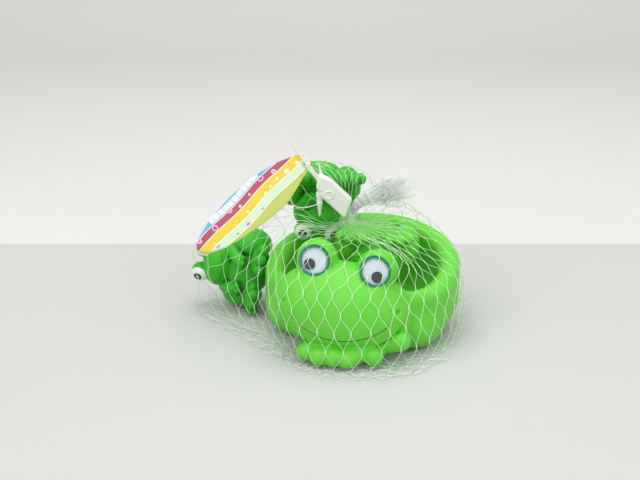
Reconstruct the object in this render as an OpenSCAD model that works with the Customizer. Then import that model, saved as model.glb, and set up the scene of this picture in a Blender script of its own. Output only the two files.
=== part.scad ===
// Squeaky bath toy: a mother frog with an open tub on her back and three small
// frogs, packed in a net bag with a moulded bag clip and a header card.
// Millimetres, +Z up. The origin is on the floor under the middle of the tub.

/* [Mother frog] */
// Outer radius of the round tub
tub_r = 62; // [56:1:70]
// Half thickness of the puffy tub wall
tub_wall_r = 6.5; // [5.5:0.5:7.5]
// Height of the tub rim at its sides
rim_z = 46.5; // [44:0.5:50]
// Slope of the rim in degrees, high at the back
rim_lean = 10; // [7:1:12]
// Thickness of the double tub floor
tub_floor_t = 13; // [11:0.5:15]
// Radius of the flat underside of the tub
tub_floor_r = 40; // [34:1:46]
// Height over which the tub side curves up
tub_side_h = 24; // [18:1:28]
// Thickness of the mother's vinyl skin
vinyl_wall = 2; // [1.5:0.1:2.5]
// Turn of the mother about the upright axis
mother_turn = -17; // [-22:1:-12]
// Width of the head
head_w = 86; // [78:1:92]
// Depth of the head, front to back
head_d = 53; // [50:1:58]
// Height of the head
head_h = 58; // [54:1:62]
// How far the head middle lies inside the tub's outer radius
head_inset = 17; // [15:1:19]
// Height of the head middle
head_z = 29.6; // [29:0.2:31]
// Turn of the face about the upright axis
head_yaw = -8; // [-12:1:0]
// Tilt of the face, the viewer's right side down
head_roll = 8; // [0:1:12]
// Diameter of the bulge that carries an eye
bump_d = 25; // [23:0.5:27]
// Width of the mouth groove
mouth_w = 1.7; // [1.2:0.1:2.2]
// Diameter of a finger
finger_d = 12; // [10:0.5:13]
// Width of a thigh bulge
thigh_w = 37; // [34:1:39]

/* [Mother's eyes] */
// Outside diameter of the eye cup
cup_d = 18; // [16:0.5:19]
// Height of the eye cup
cup_h = 2.5; // [2:0.1:3]
// Width of the raised rim of the cup
cup_rim_w = 0.95; // [0.8:0.05:1.2]
// Floor thickness of the cup
cup_floor_t = 0.6; // [0.5:0.05:0.8]
// Thickness of the pale disc
disc_t = 0.3; // [0.2:0.05:0.4]
// Diameter of the loose pupil
pupil_d = 6.8; // [6:0.1:7.4]
// Thickness of the loose pupil
pupil_t = 0.8; // [0.6:0.1:1]
// Height of the clear dome over its base
dome_h = 3.6; // [3.2:0.1:4]
// Wall of the clear dome
dome_t = 0.6; // [0.5:0.05:0.7]

/* [Small frogs] */
// Height of a small frog, base to eye tops
baby_h = 50; // [48:0.5:52]
// Width of a small frog across its thighs
baby_w = 55; // [53:0.5:57]
// Thickness of a small frog's vinyl skin
baby_wall = 1.6; // [1.2:0.1:2]

/* [Squeakers] */
// Outside diameter of the mother's squeaker tube
big_squeaker_d = 13; // [11:0.5:14]
// Length of the mother's squeaker
big_squeaker_h = 7.5; // [6.5:0.5:8]
// Outside diameter of a small frog's squeaker tube
small_squeaker_d = 8.6; // [8:0.2:9.2]
// Length of a small frog's squeaker
small_squeaker_h = 6; // [5:0.5:7]
// Wall of a squeaker tube
squeaker_wall = 0.9; // [0.7:0.1:1.1]
// Thickness of the reed
reed_t = 0.25; // [0.15:0.05:0.3]

/* [Net bag] */
// Number of net openings round the bag
net_columns = 18; // [16:1:22]
// Number of rows of net openings up the bag
net_rows = 6; // [5:1:8]
// Width of a net strand
strand_w = 1; // [0.8:0.1:1.2]
// Thickness of a net strand
strand_t = 0.8; // [0.6:0.1:1]
// Room between the wrapped net and the toys
net_gap = 2.6; // [2.4:0.1:4]
// Radius of the gathered neck
neck_r = 4.6; // [4.2:0.1:5.2]
// Size of a net opening in the flat base, across
base_cell = 13; // [11:0.5:16]
// Width of the flat net's strands
base_strand_w = 1.6; // [1.4:0.1:2]

/* [Clip and card] */
// Length of the clip body
clip_len = 27; // [24:0.5:30]
// Width of the clip body at its broad end
clip_w = 17; // [15:0.5:18]
// Thickness of the clip body
clip_t = 9; // [8:0.5:10]
// Lean of the clip body and strap from upright, in degrees
clip_lean = 38; // [35:1:41]
// Width of the flat strap
strap_w = 2.6; // [2.2:0.1:3]
// Thickness of the flat strap
strap_t = 1.3; // [1.1:0.1:1.5]
// Length of the header card
card_len = 88; // [84:1:92]
// Width of the header card
card_w = 29; // [26:1:31]
// Thickness of the header card
card_t = 0.5; // [0.4:0.1:0.7]

/* [Hidden] */
BABIES = ["left_baby", "top_baby", "tub_baby"];

// Clearances and the overrun of cuts
fit_gap = 0.12;
soft_gap = 0.3;
overrun = 1;
tiny = 0.01;

// Facets of the forms, coarse where a form is small or hidden
fn_big = 24;
fn_tub = 32;
fn_mid = 16;
fn_small = 10;
fn_tiny = 8;
fn_hole = 40;
fn_bore = 24;
fn_net = 6;

// Levels that the toys stand on
base_z = strand_t + soft_gap / 3;
floor_top_z = base_z + tub_floor_t;

// Vector helpers: a turn about x, y and z in that order, and a point on a ball
function turn_x(a, p) = [p[0], p[1] * cos(a) - p[2] * sin(a), p[1] * sin(a) + p[2] * cos(a)];
function turn_y(a, p) = [p[0] * cos(a) + p[2] * sin(a), p[1], p[2] * cos(a) - p[0] * sin(a)];
function turn_z(a, p) = [p[0] * cos(a) - p[1] * sin(a), p[0] * sin(a) + p[1] * cos(a), p[2]];
function turned(a, p) = turn_z(a[2], turn_y(a[1], turn_x(a[0], p)));
function on_ball(az, el) = [sin(az) * cos(el), -cos(az) * cos(el), sin(el)];
function times(a, b) = [a[0] * b[0], a[1] * b[1], a[2] * b[2]];
function unit(v) = v / norm(v);
function ease(t) = t * t * (3 - 2 * t);
function clamp(t) = min(max(t, 0), 1);

// Places of the mother's forms, in her own turned frame about the tub axis
head_at = [0, head_inset - tub_r, head_z];
head_size = [head_w, head_d, head_h] / 2;
head_turn = [0, head_roll, head_yaw - mother_turn];
bump_shares = [[-0.232, 0.03, 0.485], [0.194, 0.03, 0.485]];
bump_places = [for (s = bump_shares) [s[0] * head_w, s[1] * head_d, s[2] * head_h]];
thigh_size = [thigh_w, thigh_w * 1.1, thigh_w * 0.8] / 2;
thigh_places = [for (side = [-1, 1]) [side * (tub_r - thigh_w * 0.66), -tub_r * 0.33, thigh_w * 0.39]];
eye_tilt = 12;
eye_yaw = -6;

// Fingers and palms, as shares of the tub radius, with their height in finger radii
right_hand_shares = [[0.147, -1.085, 1], [0.379, -0.975, 1.08], [0.616, -0.85, 2.5]];
right_palm_share = [0.361, -0.80, 1.5];
left_hand_shares = [[-0.275, -1.05, 1.1], [-0.13, -1.10, 1], [0.01, -1.09, 1]];
left_palm_share = [-0.2, -0.95, 1.2];

// Mouth: a curve on the head in degrees, with a dimple past each corner
mouth_low = -23.3;
mouth_lift = 30;
mouth_tilt = 4.5;
mouth_half = 50;
mouth_steps = 9;
dimple_places = [[-57, 9], [57, 20]];
function mouth_at(size, k) =
    let (u = 2 * k / mouth_steps - 1)
    times(size, on_ball(mouth_half * u, mouth_low + mouth_lift * u * u + mouth_tilt * u));

// Small frog: forms as shares of its half width, its height and its height again in depth
baby_size = [baby_w / 2, baby_h, baby_h];
belly_shares = [[0, 0, 0.27], [0.61, 0.31, 0.33]];
face_shares = [[0, -0.02, 0.64], [0.57, 0.30, 0.24]];
baby_eye_shares = [[0.31, -0.085, 0.872], [0.23, 0.13, 0.128]];
thigh_shares = [[0.66, 0.02, 0.29], [0.34, 0.27, 0.27]];
foot_shares = [[0.43, -0.24, 0.115], [0.36, 0.15, 0.115]];
toe_shares = [[0.79, -0.31, 0.085], [0.58, -0.38, 0.085], [0.33, -0.385, 0.085]];
toe_r_share = 0.075;
arm_shares = [[0.47, -0.17, 0.50], [0.36, -0.30, 0.36]];
arm_r_share = 0.085;
baby_mouth_low = -22;
baby_mouth_lift = 26;
baby_mouth_half = 50;

// Where each small frog's base middle lies, and how the frog is turned
left_turn = [0, -78, -8];
left_at = [-tub_r * 0.996, tub_r * 0.42, base_z + baby_w * 0.438];
tub_turn = [0, 180, -8];
tub_baby_at = [tub_r * 0.16, tub_r * 0.24, floor_top_z + soft_gap + baby_h];
top_turn = [0, 187, 15];
top_at = [-tub_r * 0.41, tub_r * 0.485, floor_top_z + baby_h * 1.7];
baby_places = [left_at, top_at, tub_baby_at];
baby_turns = [left_turn, top_turn, tub_turn];

// Eye pieces, along the eye axis from the bulge middle
cup_r = cup_d / 2;
socket_t = sqrt(pow(bump_d / 2, 2) - pow(cup_r, 2)) - cup_h * 0.6;
well_r = cup_r - cup_rim_w;
disc_t0 = socket_t + fit_gap / 2 + cup_floor_t;
pupil_t0 = disc_t0 + disc_t + fit_gap;
dome_r = well_r - fit_gap;
dome_t0 = disc_t0 + disc_t;
pupil_orbit = dome_r - dome_t - pupil_d / 2 - fit_gap * 3;
left_pupil_angle = -43;
right_pupil_angle = 32;

// Gathered neck of the bag and the middle that the wrapped net is measured from
neck_at = [-tub_r * 0.13, -tub_r * 0.16, head_z + head_h * 0.75];
wrap_mid = [neck_at[0], neck_at[1], rim_z / 2];

// Clip frame: its broad end stands over the neck, the strap runs on past its narrow end
clip_at = neck_at + [-clip_len * 0.02, -clip_len * 0.05, neck_r * 0.85];
strap_len = clip_len * 0.61;
tail_len = clip_len * 0.95;
pin_r = strap_w * 0.45;
card_hole_r = pin_r + soft_gap;
card_back = strap_t / 2 + soft_gap * 3.4 + card_t / 2;
card_seat = clip_len + strap_len;
card_slope = 43.5;
card_yaw = -18;

module ball(at, size, fn) {
    translate(at) scale(size) sphere(1, $fn = fn);
}

module bar(a, b, ra, rb, fn) {
    hull() {
        translate(a) sphere(ra, $fn = fn);
        translate(b) sphere(rb, $fn = fn);
    }
}

// The tub's outer radius and rim height round the mother's own frame, where she faces -y
front_cut_share = 0.15;
cut_from = 40;
cut_to = 66;
function front_turn(az) = abs((az + 90 + 540) % 360 - 180);
function tub_radius(az) =
    tub_r * (1 - front_cut_share * (1 - ease(clamp((front_turn(az) - cut_from) / (cut_to - cut_from)))));
function rim_height(az) = rim_z + tan(rim_lean) * tub_radius(az) * sin(az);

// Outline of the tub's wall at one azimuth, shrunk by an inset for the air space inside it
function tub_outline(az, inset, steps) =
    let (r = tub_radius(az),
        low = base_z + inset,
        side = tub_side_h - inset,
        inner_r = r - 2 * tub_wall_r + inset,
        inner_floor = tub_floor_r - tub_wall_r,
        top = floor_top_z - inset,
        rim_mid = rim_height(az) - tub_wall_r,
        inner_side = tub_side_h - tub_wall_r)
    concat(
        [for (k = [0:steps]) let (a = 90 * k / steps)
            [tub_floor_r + (r - inset - tub_floor_r) * sin(a), low + side * (1 - cos(a))]],
        [for (k = [0:steps]) let (a = 180 * k / steps)
            [r - tub_wall_r + (tub_wall_r - inset) * cos(a), rim_mid + (tub_wall_r - inset) * sin(a)]],
        [for (k = [0:steps]) let (a = 90 - 90 * k / steps)
            [inner_floor + (inner_r - inner_floor) * sin(a), top + inner_side * (1 - cos(a))]]);

module tub_form(inset, steps, fn) {
    rings = 3 * (steps + 1);
    outlines = [for (i = [0:fn - 1]) tub_outline(360 * i / fn, inset, steps)];
    points = concat(
        [for (i = [0:fn - 1]) for (q = outlines[i])
            [q[0] * cos(360 * i / fn), q[0] * sin(360 * i / fn), q[1]]],
        [[0, 0, base_z + inset], [0, 0, floor_top_z - inset]]);
    low_mid = fn * rings;
    top_mid = low_mid + 1;
    sides = [for (i = [0:fn - 1]) for (k = [0:rings - 2])
        let (a = i * rings + k, b = (i + 1) % fn * rings + k)
        for (t = [0, 1]) t == 0 ? [a, a + 1, b] : [b, a + 1, b + 1]];
    caps = [for (i = [0:fn - 1]) let (a = i * rings, b = (i + 1) % fn * rings)
        for (t = [0, 1]) t == 0 ? [low_mid, a, b] : [top_mid, b + rings - 1, a + rings - 1]];
    polyhedron(points, concat(sides, caps));
}

// Fingers rest on the floor under the chin, the outermost climbs the cheek
function hand_point(s) = [s[0] * tub_r, s[1] * tub_r, base_z + s[2] * finger_d / 2];
function hand_points(shares) = [for (s = shares) hand_point(s)];

module hand(shares, palm) {
    for (p = hand_points(shares)) bar(p, hand_point(palm), finger_d / 2, finger_d / 2, fn_small);
    bar(hand_point(palm), [palm[0] * tub_r, head_at[1], head_z], finger_d / 2, finger_d / 2, fn_tiny);
}

module eye_socket(place) {
    translate(place) rotate([0, 0, eye_yaw]) rotate([90 - eye_tilt, 0, 0])
        translate([0, 0, socket_t]) cylinder(h = bump_d, r = cup_r + fit_gap, $fn = fn_bore);
}

module mouth_groove() {
    for (k = [0:mouth_steps - 1])
        bar(mouth_at(head_size, k), mouth_at(head_size, k + 1), mouth_w / 2, mouth_w / 2, fn_net);
}

module mother_skin(inset, fn) {
    tub_form(inset, inset > 0 ? 3 : 4, inset > 0 ? fn_mid : fn_tub);
    translate(head_at) rotate(head_turn) {
        ball([0, 0, 0], head_size - [inset, inset, inset], fn);
        for (p = bump_places) ball(p, [1, 1, 1] * (bump_d / 2 - inset), inset > 0 ? fn_tiny : fn_mid);
    }
    for (p = thigh_places) ball(p, thigh_size - [inset, inset, inset], inset > 0 ? fn_tiny : fn_mid);
}

module mother_shell() {
    color("limegreen") difference() {
        union() {
            rotate([0, 0, mother_turn]) {
                mother_skin(0, fn_big);
                hand(right_hand_shares, right_palm_share);
                hand(left_hand_shares, left_palm_share);
            }
        }
        rotate([0, 0, mother_turn]) {
            intersection() {
                mother_skin(vinyl_wall, fn_mid);
                translate([-tub_r, -tub_r * 2, base_z + vinyl_wall]) cube([tub_r * 2, tub_r * 4, tub_r * 2]);
            }
            translate(head_at) rotate(head_turn) {
                for (p = bump_places) eye_socket(p);
                mouth_groove();
                for (d = dimple_places)
                    translate(times(head_size, on_ball(d[0], d[1]))) sphere(mouth_w * 0.9, $fn = fn_tiny);
            }
            translate([-tub_r * 2, -tub_r * 2, -tub_r]) cube([tub_r * 4, tub_r * 4, tub_r + base_z]);
            squeaker_hole(big_squeaker_d);
        }
    }
}

// Stepped hole that a squeaker pushes into, on the base plane
module squeaker_hole(d) {
    translate([0, 0, base_z - overrun])
        cylinder(h = overrun + vinyl_wall * 2, r = d / 2 + fit_gap, $fn = fn_bore);
    translate([0, 0, base_z - overrun])
        cylinder(h = overrun + squeaker_wall + fit_gap, r = d / 2 + squeaker_wall + fit_gap, $fn = fn_bore);
}

// Squeaker pieces, standing on a base plane at zero with the flange down
module squeaker_body(d, h) {
    color("ghostwhite") difference() {
        union() {
            cylinder(h = squeaker_wall, r = d / 2 + squeaker_wall, $fn = fn_hole);
            cylinder(h = h, r = d / 2, $fn = fn_hole);
        }
        translate([0, 0, squeaker_wall]) cylinder(h = h, r = d / 2 - squeaker_wall, $fn = fn_hole);
        translate([0, 0, -overrun]) cylinder(h = h, r = d / 6, $fn = fn_hole);
    }
}

function plug_r(d) = d / 2 - squeaker_wall - fit_gap;
function plug_z(h) = h * 0.45;

module squeaker_insert(d, h) {
    slot = plug_r(d) * 1.5;
    color("gainsboro") difference() {
        translate([0, 0, plug_z(h)]) cylinder(h = h - plug_z(h), r = plug_r(d), $fn = fn_hole);
        translate([-slot / 2, -plug_r(d) / 4, plug_z(h) - overrun]) cube([slot, plug_r(d) / 2, h]);
    }
}

module squeaker_reed(d, h) {
    span = plug_r(d) * 1.7;
    color("silver") translate([-span / 2, -plug_r(d) * 0.35, plug_z(h) - reed_t - fit_gap])
        cube([span, plug_r(d) * 0.7, reed_t]);
}

module mother_squeaker(piece) {
    rotate([0, 0, mother_turn]) translate([0, 0, base_z + fit_gap / 2]) {
        if (piece == "body") squeaker_body(big_squeaker_d, big_squeaker_h);
        if (piece == "insert") squeaker_insert(big_squeaker_d, big_squeaker_h);
        if (piece == "reed") squeaker_reed(big_squeaker_d, big_squeaker_h);
    }
}

// Stands what follows in one eye's frame: the eye axis is z, from the bulge middle outwards
module eye_frame(side) {
    rotate([0, 0, mother_turn]) translate(head_at) rotate(head_turn)
        translate(bump_places[side]) rotate([0, 0, eye_yaw]) rotate([90 - eye_tilt, 0, 0]) children();
}

module eye_cup() {
    color("teal") difference() {
        translate([0, 0, socket_t + fit_gap / 2]) cylinder(h = cup_h, r = cup_r, $fn = fn_hole);
        translate([0, 0, disc_t0]) cylinder(h = cup_h, r = well_r, $fn = fn_hole);
    }
}

module eye_disc() {
    color("lavender") translate([0, 0, disc_t0]) cylinder(h = disc_t, r = well_r - fit_gap, $fn = fn_hole);
}

module pupil(angle) {
    color("black") rotate([0, 0, angle]) translate([0, -pupil_orbit, pupil_t0])
        cylinder(h = pupil_t, r = pupil_d / 2, $fn = fn_hole);
}

// Clear cap: a straight skirt in the cup, then a low dome
module dome_form(inset) {
    r = dome_r - inset;
    skirt = pupil_t + fit_gap * 2;
    rise = dome_h - skirt - inset;
    rotate_extrude($fn = fn_hole)
        polygon(concat([[0, inset > 0 ? -overrun : 0], [r, inset > 0 ? -overrun : 0]],
            [for (k = [0:8]) [r * cos(90 * k / 8), skirt + rise * sin(90 * k / 8)]]));
}

module eye_dome() {
    color("whitesmoke", 0.4) translate([0, 0, dome_t0]) difference() {
        dome_form(0);
        dome_form(dome_t);
    }
}

module both(side, p, fn) {
    ball([side * p[0][0] * baby_size[0], p[0][1] * baby_size[1], p[0][2] * baby_size[2]],
        [p[1][0] * baby_size[0], p[1][1] * baby_size[1], p[1][2] * baby_size[2]], fn);
}

module baby_skin(inset, fn) {
    for (p = [belly_shares, face_shares])
        ball(times(p[0], baby_size), times(p[1], baby_size) - [inset, inset, inset], fn);
}

// One small frog, standing on its base at the origin and facing -y
module baby_form() {
    difference() {
        union() {
            baby_skin(0, fn_mid);
            for (side = [-1, 1]) {
                for (p = [baby_eye_shares, thigh_shares]) both(side, p, fn_small);
                both(side, foot_shares, fn_tiny);
                for (t = toe_shares)
                    bar(times([side * t[0], t[1], t[2]], baby_size),
                        times([side * foot_shares[0][0], foot_shares[0][1], foot_shares[0][2]], baby_size),
                        toe_r_share * baby_h, toe_r_share * baby_h, fn_net);
                bar(times([side * arm_shares[0][0], arm_shares[0][1], arm_shares[0][2]], baby_size),
                    times([side * arm_shares[1][0], arm_shares[1][1], arm_shares[1][2]], baby_size),
                    arm_r_share * baby_h, arm_r_share * baby_h, fn_net);
            }
        }
        intersection() {
            baby_skin(baby_wall, fn_small);
            translate([-baby_w, -baby_h, baby_wall]) cube([baby_w * 2, baby_h * 2, baby_h]);
        }
        translate([-baby_w, -baby_h, -baby_h]) cube([baby_w * 2, baby_h * 2, baby_h]);
        translate([0, 0, -base_z]) squeaker_hole(small_squeaker_d);
    }
}

module baby_shell(k) {
    color("limegreen") translate(baby_places[k]) rotate(baby_turns[k]) baby_form();
}

module baby_squeaker(k, piece) {
    translate(baby_places[k]) rotate(baby_turns[k]) translate([0, 0, fit_gap / 2]) {
        if (piece == "body") squeaker_body(small_squeaker_d, small_squeaker_h);
        if (piece == "insert") squeaker_insert(small_squeaker_d, small_squeaker_h);
        if (piece == "reed") squeaker_reed(small_squeaker_d, small_squeaker_h);
    }
}

// The toys as ovals in turned frames: [place, turn, [[middle, half sizes], ...]], and the tub as rings,
// whose common hull the net is drawn tight over
function unturned(a, p) = turn_x(-a[0], turn_y(-a[1], turn_z(-a[2], p)));
function from_mother(p) = turn_z(mother_turn, p);
function pair(p) = [for (side = [-1, 1])
    [times([side * p[0][0], p[0][1], p[0][2]], baby_size), times(p[1], baby_size)]];
toe_size = [1, 1, 1] * toe_r_share * baby_h;
baby_ovals = concat(
    [for (p = [belly_shares, face_shares]) [times(p[0], baby_size), times(p[1], baby_size)]],
    pair(baby_eye_shares), pair(thigh_shares), pair(foot_shares),
    [for (t = toe_shares) for (side = [-1, 1]) [times([side * t[0], t[1], t[2]], baby_size), toe_size]]);
head_ovals = concat(
    [[[0, 0, 0], head_size]],
    [for (p = bump_places) [p, [1, 1, 1] * (bump_d / 2 + dome_h / 3)]]);
body_ovals = concat([for (p = thigh_places) [p, thigh_size]],
    [for (p = concat(hand_points(right_hand_shares), hand_points(left_hand_shares)))
        [p, [1, 1, 1] * finger_d / 2]]);
head_world_turn = [0, head_roll, head_yaw];
wrap_groups = concat(
    [[from_mother(head_at), head_world_turn, head_ovals], [[0, 0, 0], [0, 0, mother_turn], body_ovals]],
    [for (k = [0:2]) [baby_places[k], baby_turns[k], baby_ovals]]);
rim_tilt = from_mother([0, tan(rim_lean), 0]);
wrap_rings = [[[0, 0, rim_z - tub_wall_r], tub_r - tub_wall_r, tub_wall_r, 1],
    [[0, 0, base_z + tub_side_h], tub_r - tub_wall_r, tub_wall_r, 0]];

normal_count = 260;
golden_turn = 137.508;
wrap_normals = [for (k = [0:normal_count - 1])
    let (z = 1 - (2 * k + 1) / normal_count, r = sqrt(1 - z * z))
    [r * cos(golden_turn * k), r * sin(golden_turn * k), z]];
function reach(n) = max(concat(
    [for (g = wrap_groups) let (m = unturned(g[1], n)) n * (g[0] - wrap_mid)
        + max([for (b = g[2]) m * b[0] + norm(times(m, b[1]))])],
    [for (b = wrap_rings)
        let (tilt = b[3] * n[2] * rim_tilt)
        n * (b[0] - wrap_mid) + b[1] * norm([n[0] + tilt[0], n[1] + tilt[1]]) + b[2]])) + net_gap;
wrap_reach = [for (n = wrap_normals) reach(n)];
function wrap_r(d) = min([for (k = [0:normal_count - 1])
    let (c = wrap_normals[k] * d) if (c > 0.1) wrap_reach[k] / c]);

// How far a ray from the middle runs before it has left every toy
function oval_exit(o, d, h) =
    let (q = [o[0] / h[0], o[1] / h[1], o[2] / h[2]], v = [d[0] / h[0], d[1] / h[1], d[2] / h[2]],
        a = v * v, b = q * v, c = q * q - 1, root = b * b - a * c)
    root > 0 ? (sqrt(root) - b) / a : 0;
grow = [1, 1, 1] * net_gap;
function solid_r(d) = max([for (g = wrap_groups)
    let (o = unturned(g[1], wrap_mid - g[0]), m = unturned(g[1], d))
    max([for (b = g[2]) oval_exit(o - b[0], m, b[1] + grow)])]);

// Net nodes: row 0 lies on the flat base, the last row is the ring at the neck
foot_in_share = 0.13;
foot_in_side = 212;
function foot_r(az) =
    wrap_r([cos(az), sin(az), 0]) * (1 - foot_in_share * pow(max(0, cos(az - foot_in_side)), 3));
function foot_point(az) = [wrap_mid[0] + foot_r(az) * cos(az), wrap_mid[1] + foot_r(az) * sin(az)];
dip_side = 112;
dip_from = 42;
dip_rise = 37;
dip_span = 33;
function dip_start(az) = dip_from + dip_rise * ease(clamp((cos(az - dip_side) - 0.616) / 0.213));
function net_dir(az, el) = [cos(az) * cos(el), sin(az) * cos(el), sin(el)];
function net_point(az, t) =
    let (low_z = strand_t * 1.5 + strand_w * 0.85 + fit_gap,
        dip = dip_start(az),
        e0 = atan2(low_z - wrap_mid[2], foot_r(az)),
        e1 = atan2(neck_at[2] - wrap_mid[2], neck_r),
        e = e0 + (e1 - e0) * t,
        hull_r = wrap_r(net_dir(az, e)),
        foot = norm([foot_r(az), low_z - wrap_mid[2]]),
        low = foot + (hull_r - foot) * ease(clamp(t * 3)),
        high = norm([neck_r, neck_at[2] - wrap_mid[2]]),
        r = low + (high - low) * ease(clamp((e - dip) / min(e1 - dip, dip_span))))
    wrap_mid + (t < 1 ? max(r, solid_r(net_dir(az, e))) : r) * net_dir(az, e);
net_step = 360 / net_columns;

// Where the net is bunched: side and half width in degrees, pull, the heights where it starts and is full,
// and how far the bunch winds on up to the neck, in degrees
bunch_shares = [
    [-38, 34, 0.75, 0.34, 0.62, -36], [197, 30, 0.65, 0.44, 0.68, 0], [60, 30, 0.45, 0.45, 0.70, 0]];
bunch_end_share = 0.8;
function bunch_pull(b, t) =
    let (drawn = ease(clamp((t - b[3]) / (b[4] - b[3]))),
        spread = ease(clamp((t - bunch_end_share) / (1 - bunch_end_share))))
    b[2] * drawn * (1 - spread);
function bunched(az, t, b) =
    let (side = b[0] + b[5] * ease(clamp((t - b[3]) / (1 - b[3]))),
        off = (az - side + 540) % 360 - 180)
    az - bunch_pull(b, t) * off * exp(-pow(off / b[1], 2));
function gathered(az, t, k) =
    k == len(bunch_shares) ? az : gathered(bunched(az, t, bunch_shares[k]), t, k + 1);

// Net nodes by column and row, whose rows lie closer together towards the neck
row_power = 1.25;
function bag_point(column, row) =
    let (t = 1 - pow(1 - row / net_rows, row_power))
    net_point(gathered(column * net_step, t, 0), t);
function odd_shift(j) = (j % 2) / 2;
net_nodes = [for (j = [0:net_rows]) [for (i = [0:net_columns - 1]) bag_point(i + odd_shift(j), j)]];
function node_at(i, j) = net_nodes[j][(i + net_columns) % net_columns];

// Corners of a net knot: east, north, west, south, each outside and inside
function up_left(i, j) = i - 1 + (j % 2);
function up_right(i, j) = i + (j % 2);
function node_out(i, j) = unit(node_at(i, j) - wrap_mid);
function node_east(i, j) = unit(node_at(i + 1, j) - node_at(i - 1, j));
function node_north(i, j) = unit(cross(node_out(i, j), node_east(i, j)));
function spacing(i, j) = norm(node_at(i + 1, j) - node_at(i, j));
function corner(i, j, k, s) =
    let (wide = min(strand_w * 1.05, spacing(i, j) * 0.3),
        tall = min(strand_w * 0.8, spacing(i, j) * 0.6),
        e = node_east(i, j),
        n = node_north(i, j),
        shift = [e * wide, n * tall, -e * wide, -n * tall][k])
    node_at(i, j) + shift + node_out(i, j) * strand_t * (s == 0 ? 0.5 : -0.5);
function corner_index(i, j, k) = ((j * net_columns + (i + net_columns) % net_columns) * 4 + k) * 2;

// Middle of the strand that leans east (lean 1) or west (lean -1) over a knot: its east and west sides
function mid_point(i, j, lean) = bag_point(i + odd_shift(j) + lean / 4, j + 1 / 2);
function mid_corner(i, j, lean, k, s) =
    let (m = mid_point(i, j, lean),
        upper = node_at(lean > 0 ? up_right(i, j) : up_left(i, j), j + 1),
        out = unit(m - wrap_mid),
        east = unit(cross(upper - node_at(i, j), out)),
        wide = min(strand_w * 0.45, spacing(i, j) * 0.15))
    m + east * (k == 0 ? wide : -wide) + out * strand_t * (s == 0 ? 0.5 : -0.5);
mid_start = (net_rows + 1) * net_columns * 8;
function mid_index(i, j, lean, k) = mid_start + ((j * net_columns + i) * 4 + (lean > 0 ? 0 : 2) + k) * 2;
EAST = 0;
NORTH = 1;
WEST = 2;
SOUTH = 3;

// Half a strand between four corners given in order: two faces and two side walls
function strand_faces(o) =
    let (n = [for (p = o) p + 1])
    [[o[0], o[2], o[1]], [o[0], o[3], o[2]], [n[0], n[1], n[2]], [n[0], n[2], n[3]],
        [o[0], o[1], n[1]], [o[0], n[1], n[0]], [o[2], o[3], n[3]], [o[2], n[3], n[2]]];
function knot_faces(i, j) =
    let (o = [for (k = [0:3]) corner_index(i, j, k)], n = [for (p = o) p + 1])
    [[o[0], o[2], o[1]], [o[0], o[3], o[2]], [n[0], n[1], n[2]], [n[0], n[2], n[3]]];
function bent_strand(i, j, lean, low, high, u) =
    let (e = mid_index(i, j, lean, 0), w = mid_index(i, j, lean, 1))
    concat(
        strand_faces([corner_index(i, j, low[0]), e, w, corner_index(i, j, low[1])]),
        strand_faces([e, corner_index(u, j + 1, high[0]), corner_index(u, j + 1, high[1]), w]));
function flatten(lists) = [for (a = lists) for (b = a) b];

module net_pouch() {
    last = net_columns - 1;
    corners = [for (j = [0:net_rows]) for (i = [0:last]) for (k = [0:3]) for (s = [0, 1]) corner(i, j, k, s)];
    mids = [for (j = [0:net_rows - 1]) for (i = [0:last]) for (lean = [1, -1])
        for (k = [0, 1]) for (s = [0, 1]) mid_corner(i, j, lean, k, s)];
    knots = flatten([for (j = [0:net_rows]) for (i = [0:last]) knot_faces(i, j)]);
    right = flatten([for (j = [0:net_rows - 1]) for (i = [0:last])
        bent_strand(i, j, 1, [EAST, NORTH], [SOUTH, WEST], up_right(i, j))]);
    left = flatten([for (j = [0:net_rows - 1]) for (i = [0:last])
        bent_strand(i, j, -1, [NORTH, WEST], [EAST, SOUTH], up_left(i, j))]);
    hem = flatten([for (i = [0:last])
        strand_faces([corner_index(i, 0, SOUTH), corner_index(i + 1, 0, SOUTH),
            corner_index(i + 1, 0, WEST), corner_index(i, 0, EAST)])]);
    crown = flatten([for (i = [0:last])
        let (j = net_rows)
        strand_faces([corner_index(i, j, EAST), corner_index(i + 1, j, WEST),
            corner_index(i + 1, j, NORTH), corner_index(i, j, NORTH)])]);
    color("white") polyhedron(concat(corners, mids), concat(knots, right, left, hem, crown));
}

// Flat part of the net under the toys, with diamond openings inside its hem
module net_base() {
    outline = [for (i = [0:net_columns - 1]) foot_point(i * net_step)];
    half = base_cell / 2 - base_strand_w * 0.6;
    tall = half * 1.5;
    span = ceil(tub_r * 2.2 / base_cell);
    color("white") linear_extrude(strand_t) difference() {
        polygon(outline);
        for (i = [-span:span]) for (j = [-span:span]) {
            c = [(i + abs(j % 2) / 2 + 0.5) * base_cell, j * base_cell * 0.75];
            rel = c - [wrap_mid[0], wrap_mid[1]];
            if (norm(rel) + tall * 1.25 < foot_r(atan2(rel[1], rel[0])) && norm(c) > base_cell * 0.4)
                polygon([c + [half, 0], c + [0, tall], c - [half, 0], c - [0, tall]]);
        }
    }
}

// Gathered end of the bag: from the neck up through the clip's bore, then flared out behind it
bore_lean = [-20, 0, -50];
bore_r = neck_r * 0.62 + soft_gap;
function bore_point(h) = neck_at + h * turned(bore_lean, [0, 0, 1]);
tail_shares = [[0.62, 0.30, 0.47], [1.00, 0.55, 0.55], [1.42, 0.80, 0.53]];
tail_r_shares = [0.13, 0.21, 0.30];

module net_tail() {
    points = concat(
        [bore_point(0), bore_point(clip_w * 0.72)],
        [for (s = tail_shares) neck_at + s * clip_len]);
    radii = concat([bore_r - soft_gap, bore_r - soft_gap], tail_r_shares * clip_len);
    color("white", 0.8) for (k = [0:3]) bar(points[k], points[k + 1], radii[k], radii[k + 1], fn_small);
}

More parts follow.
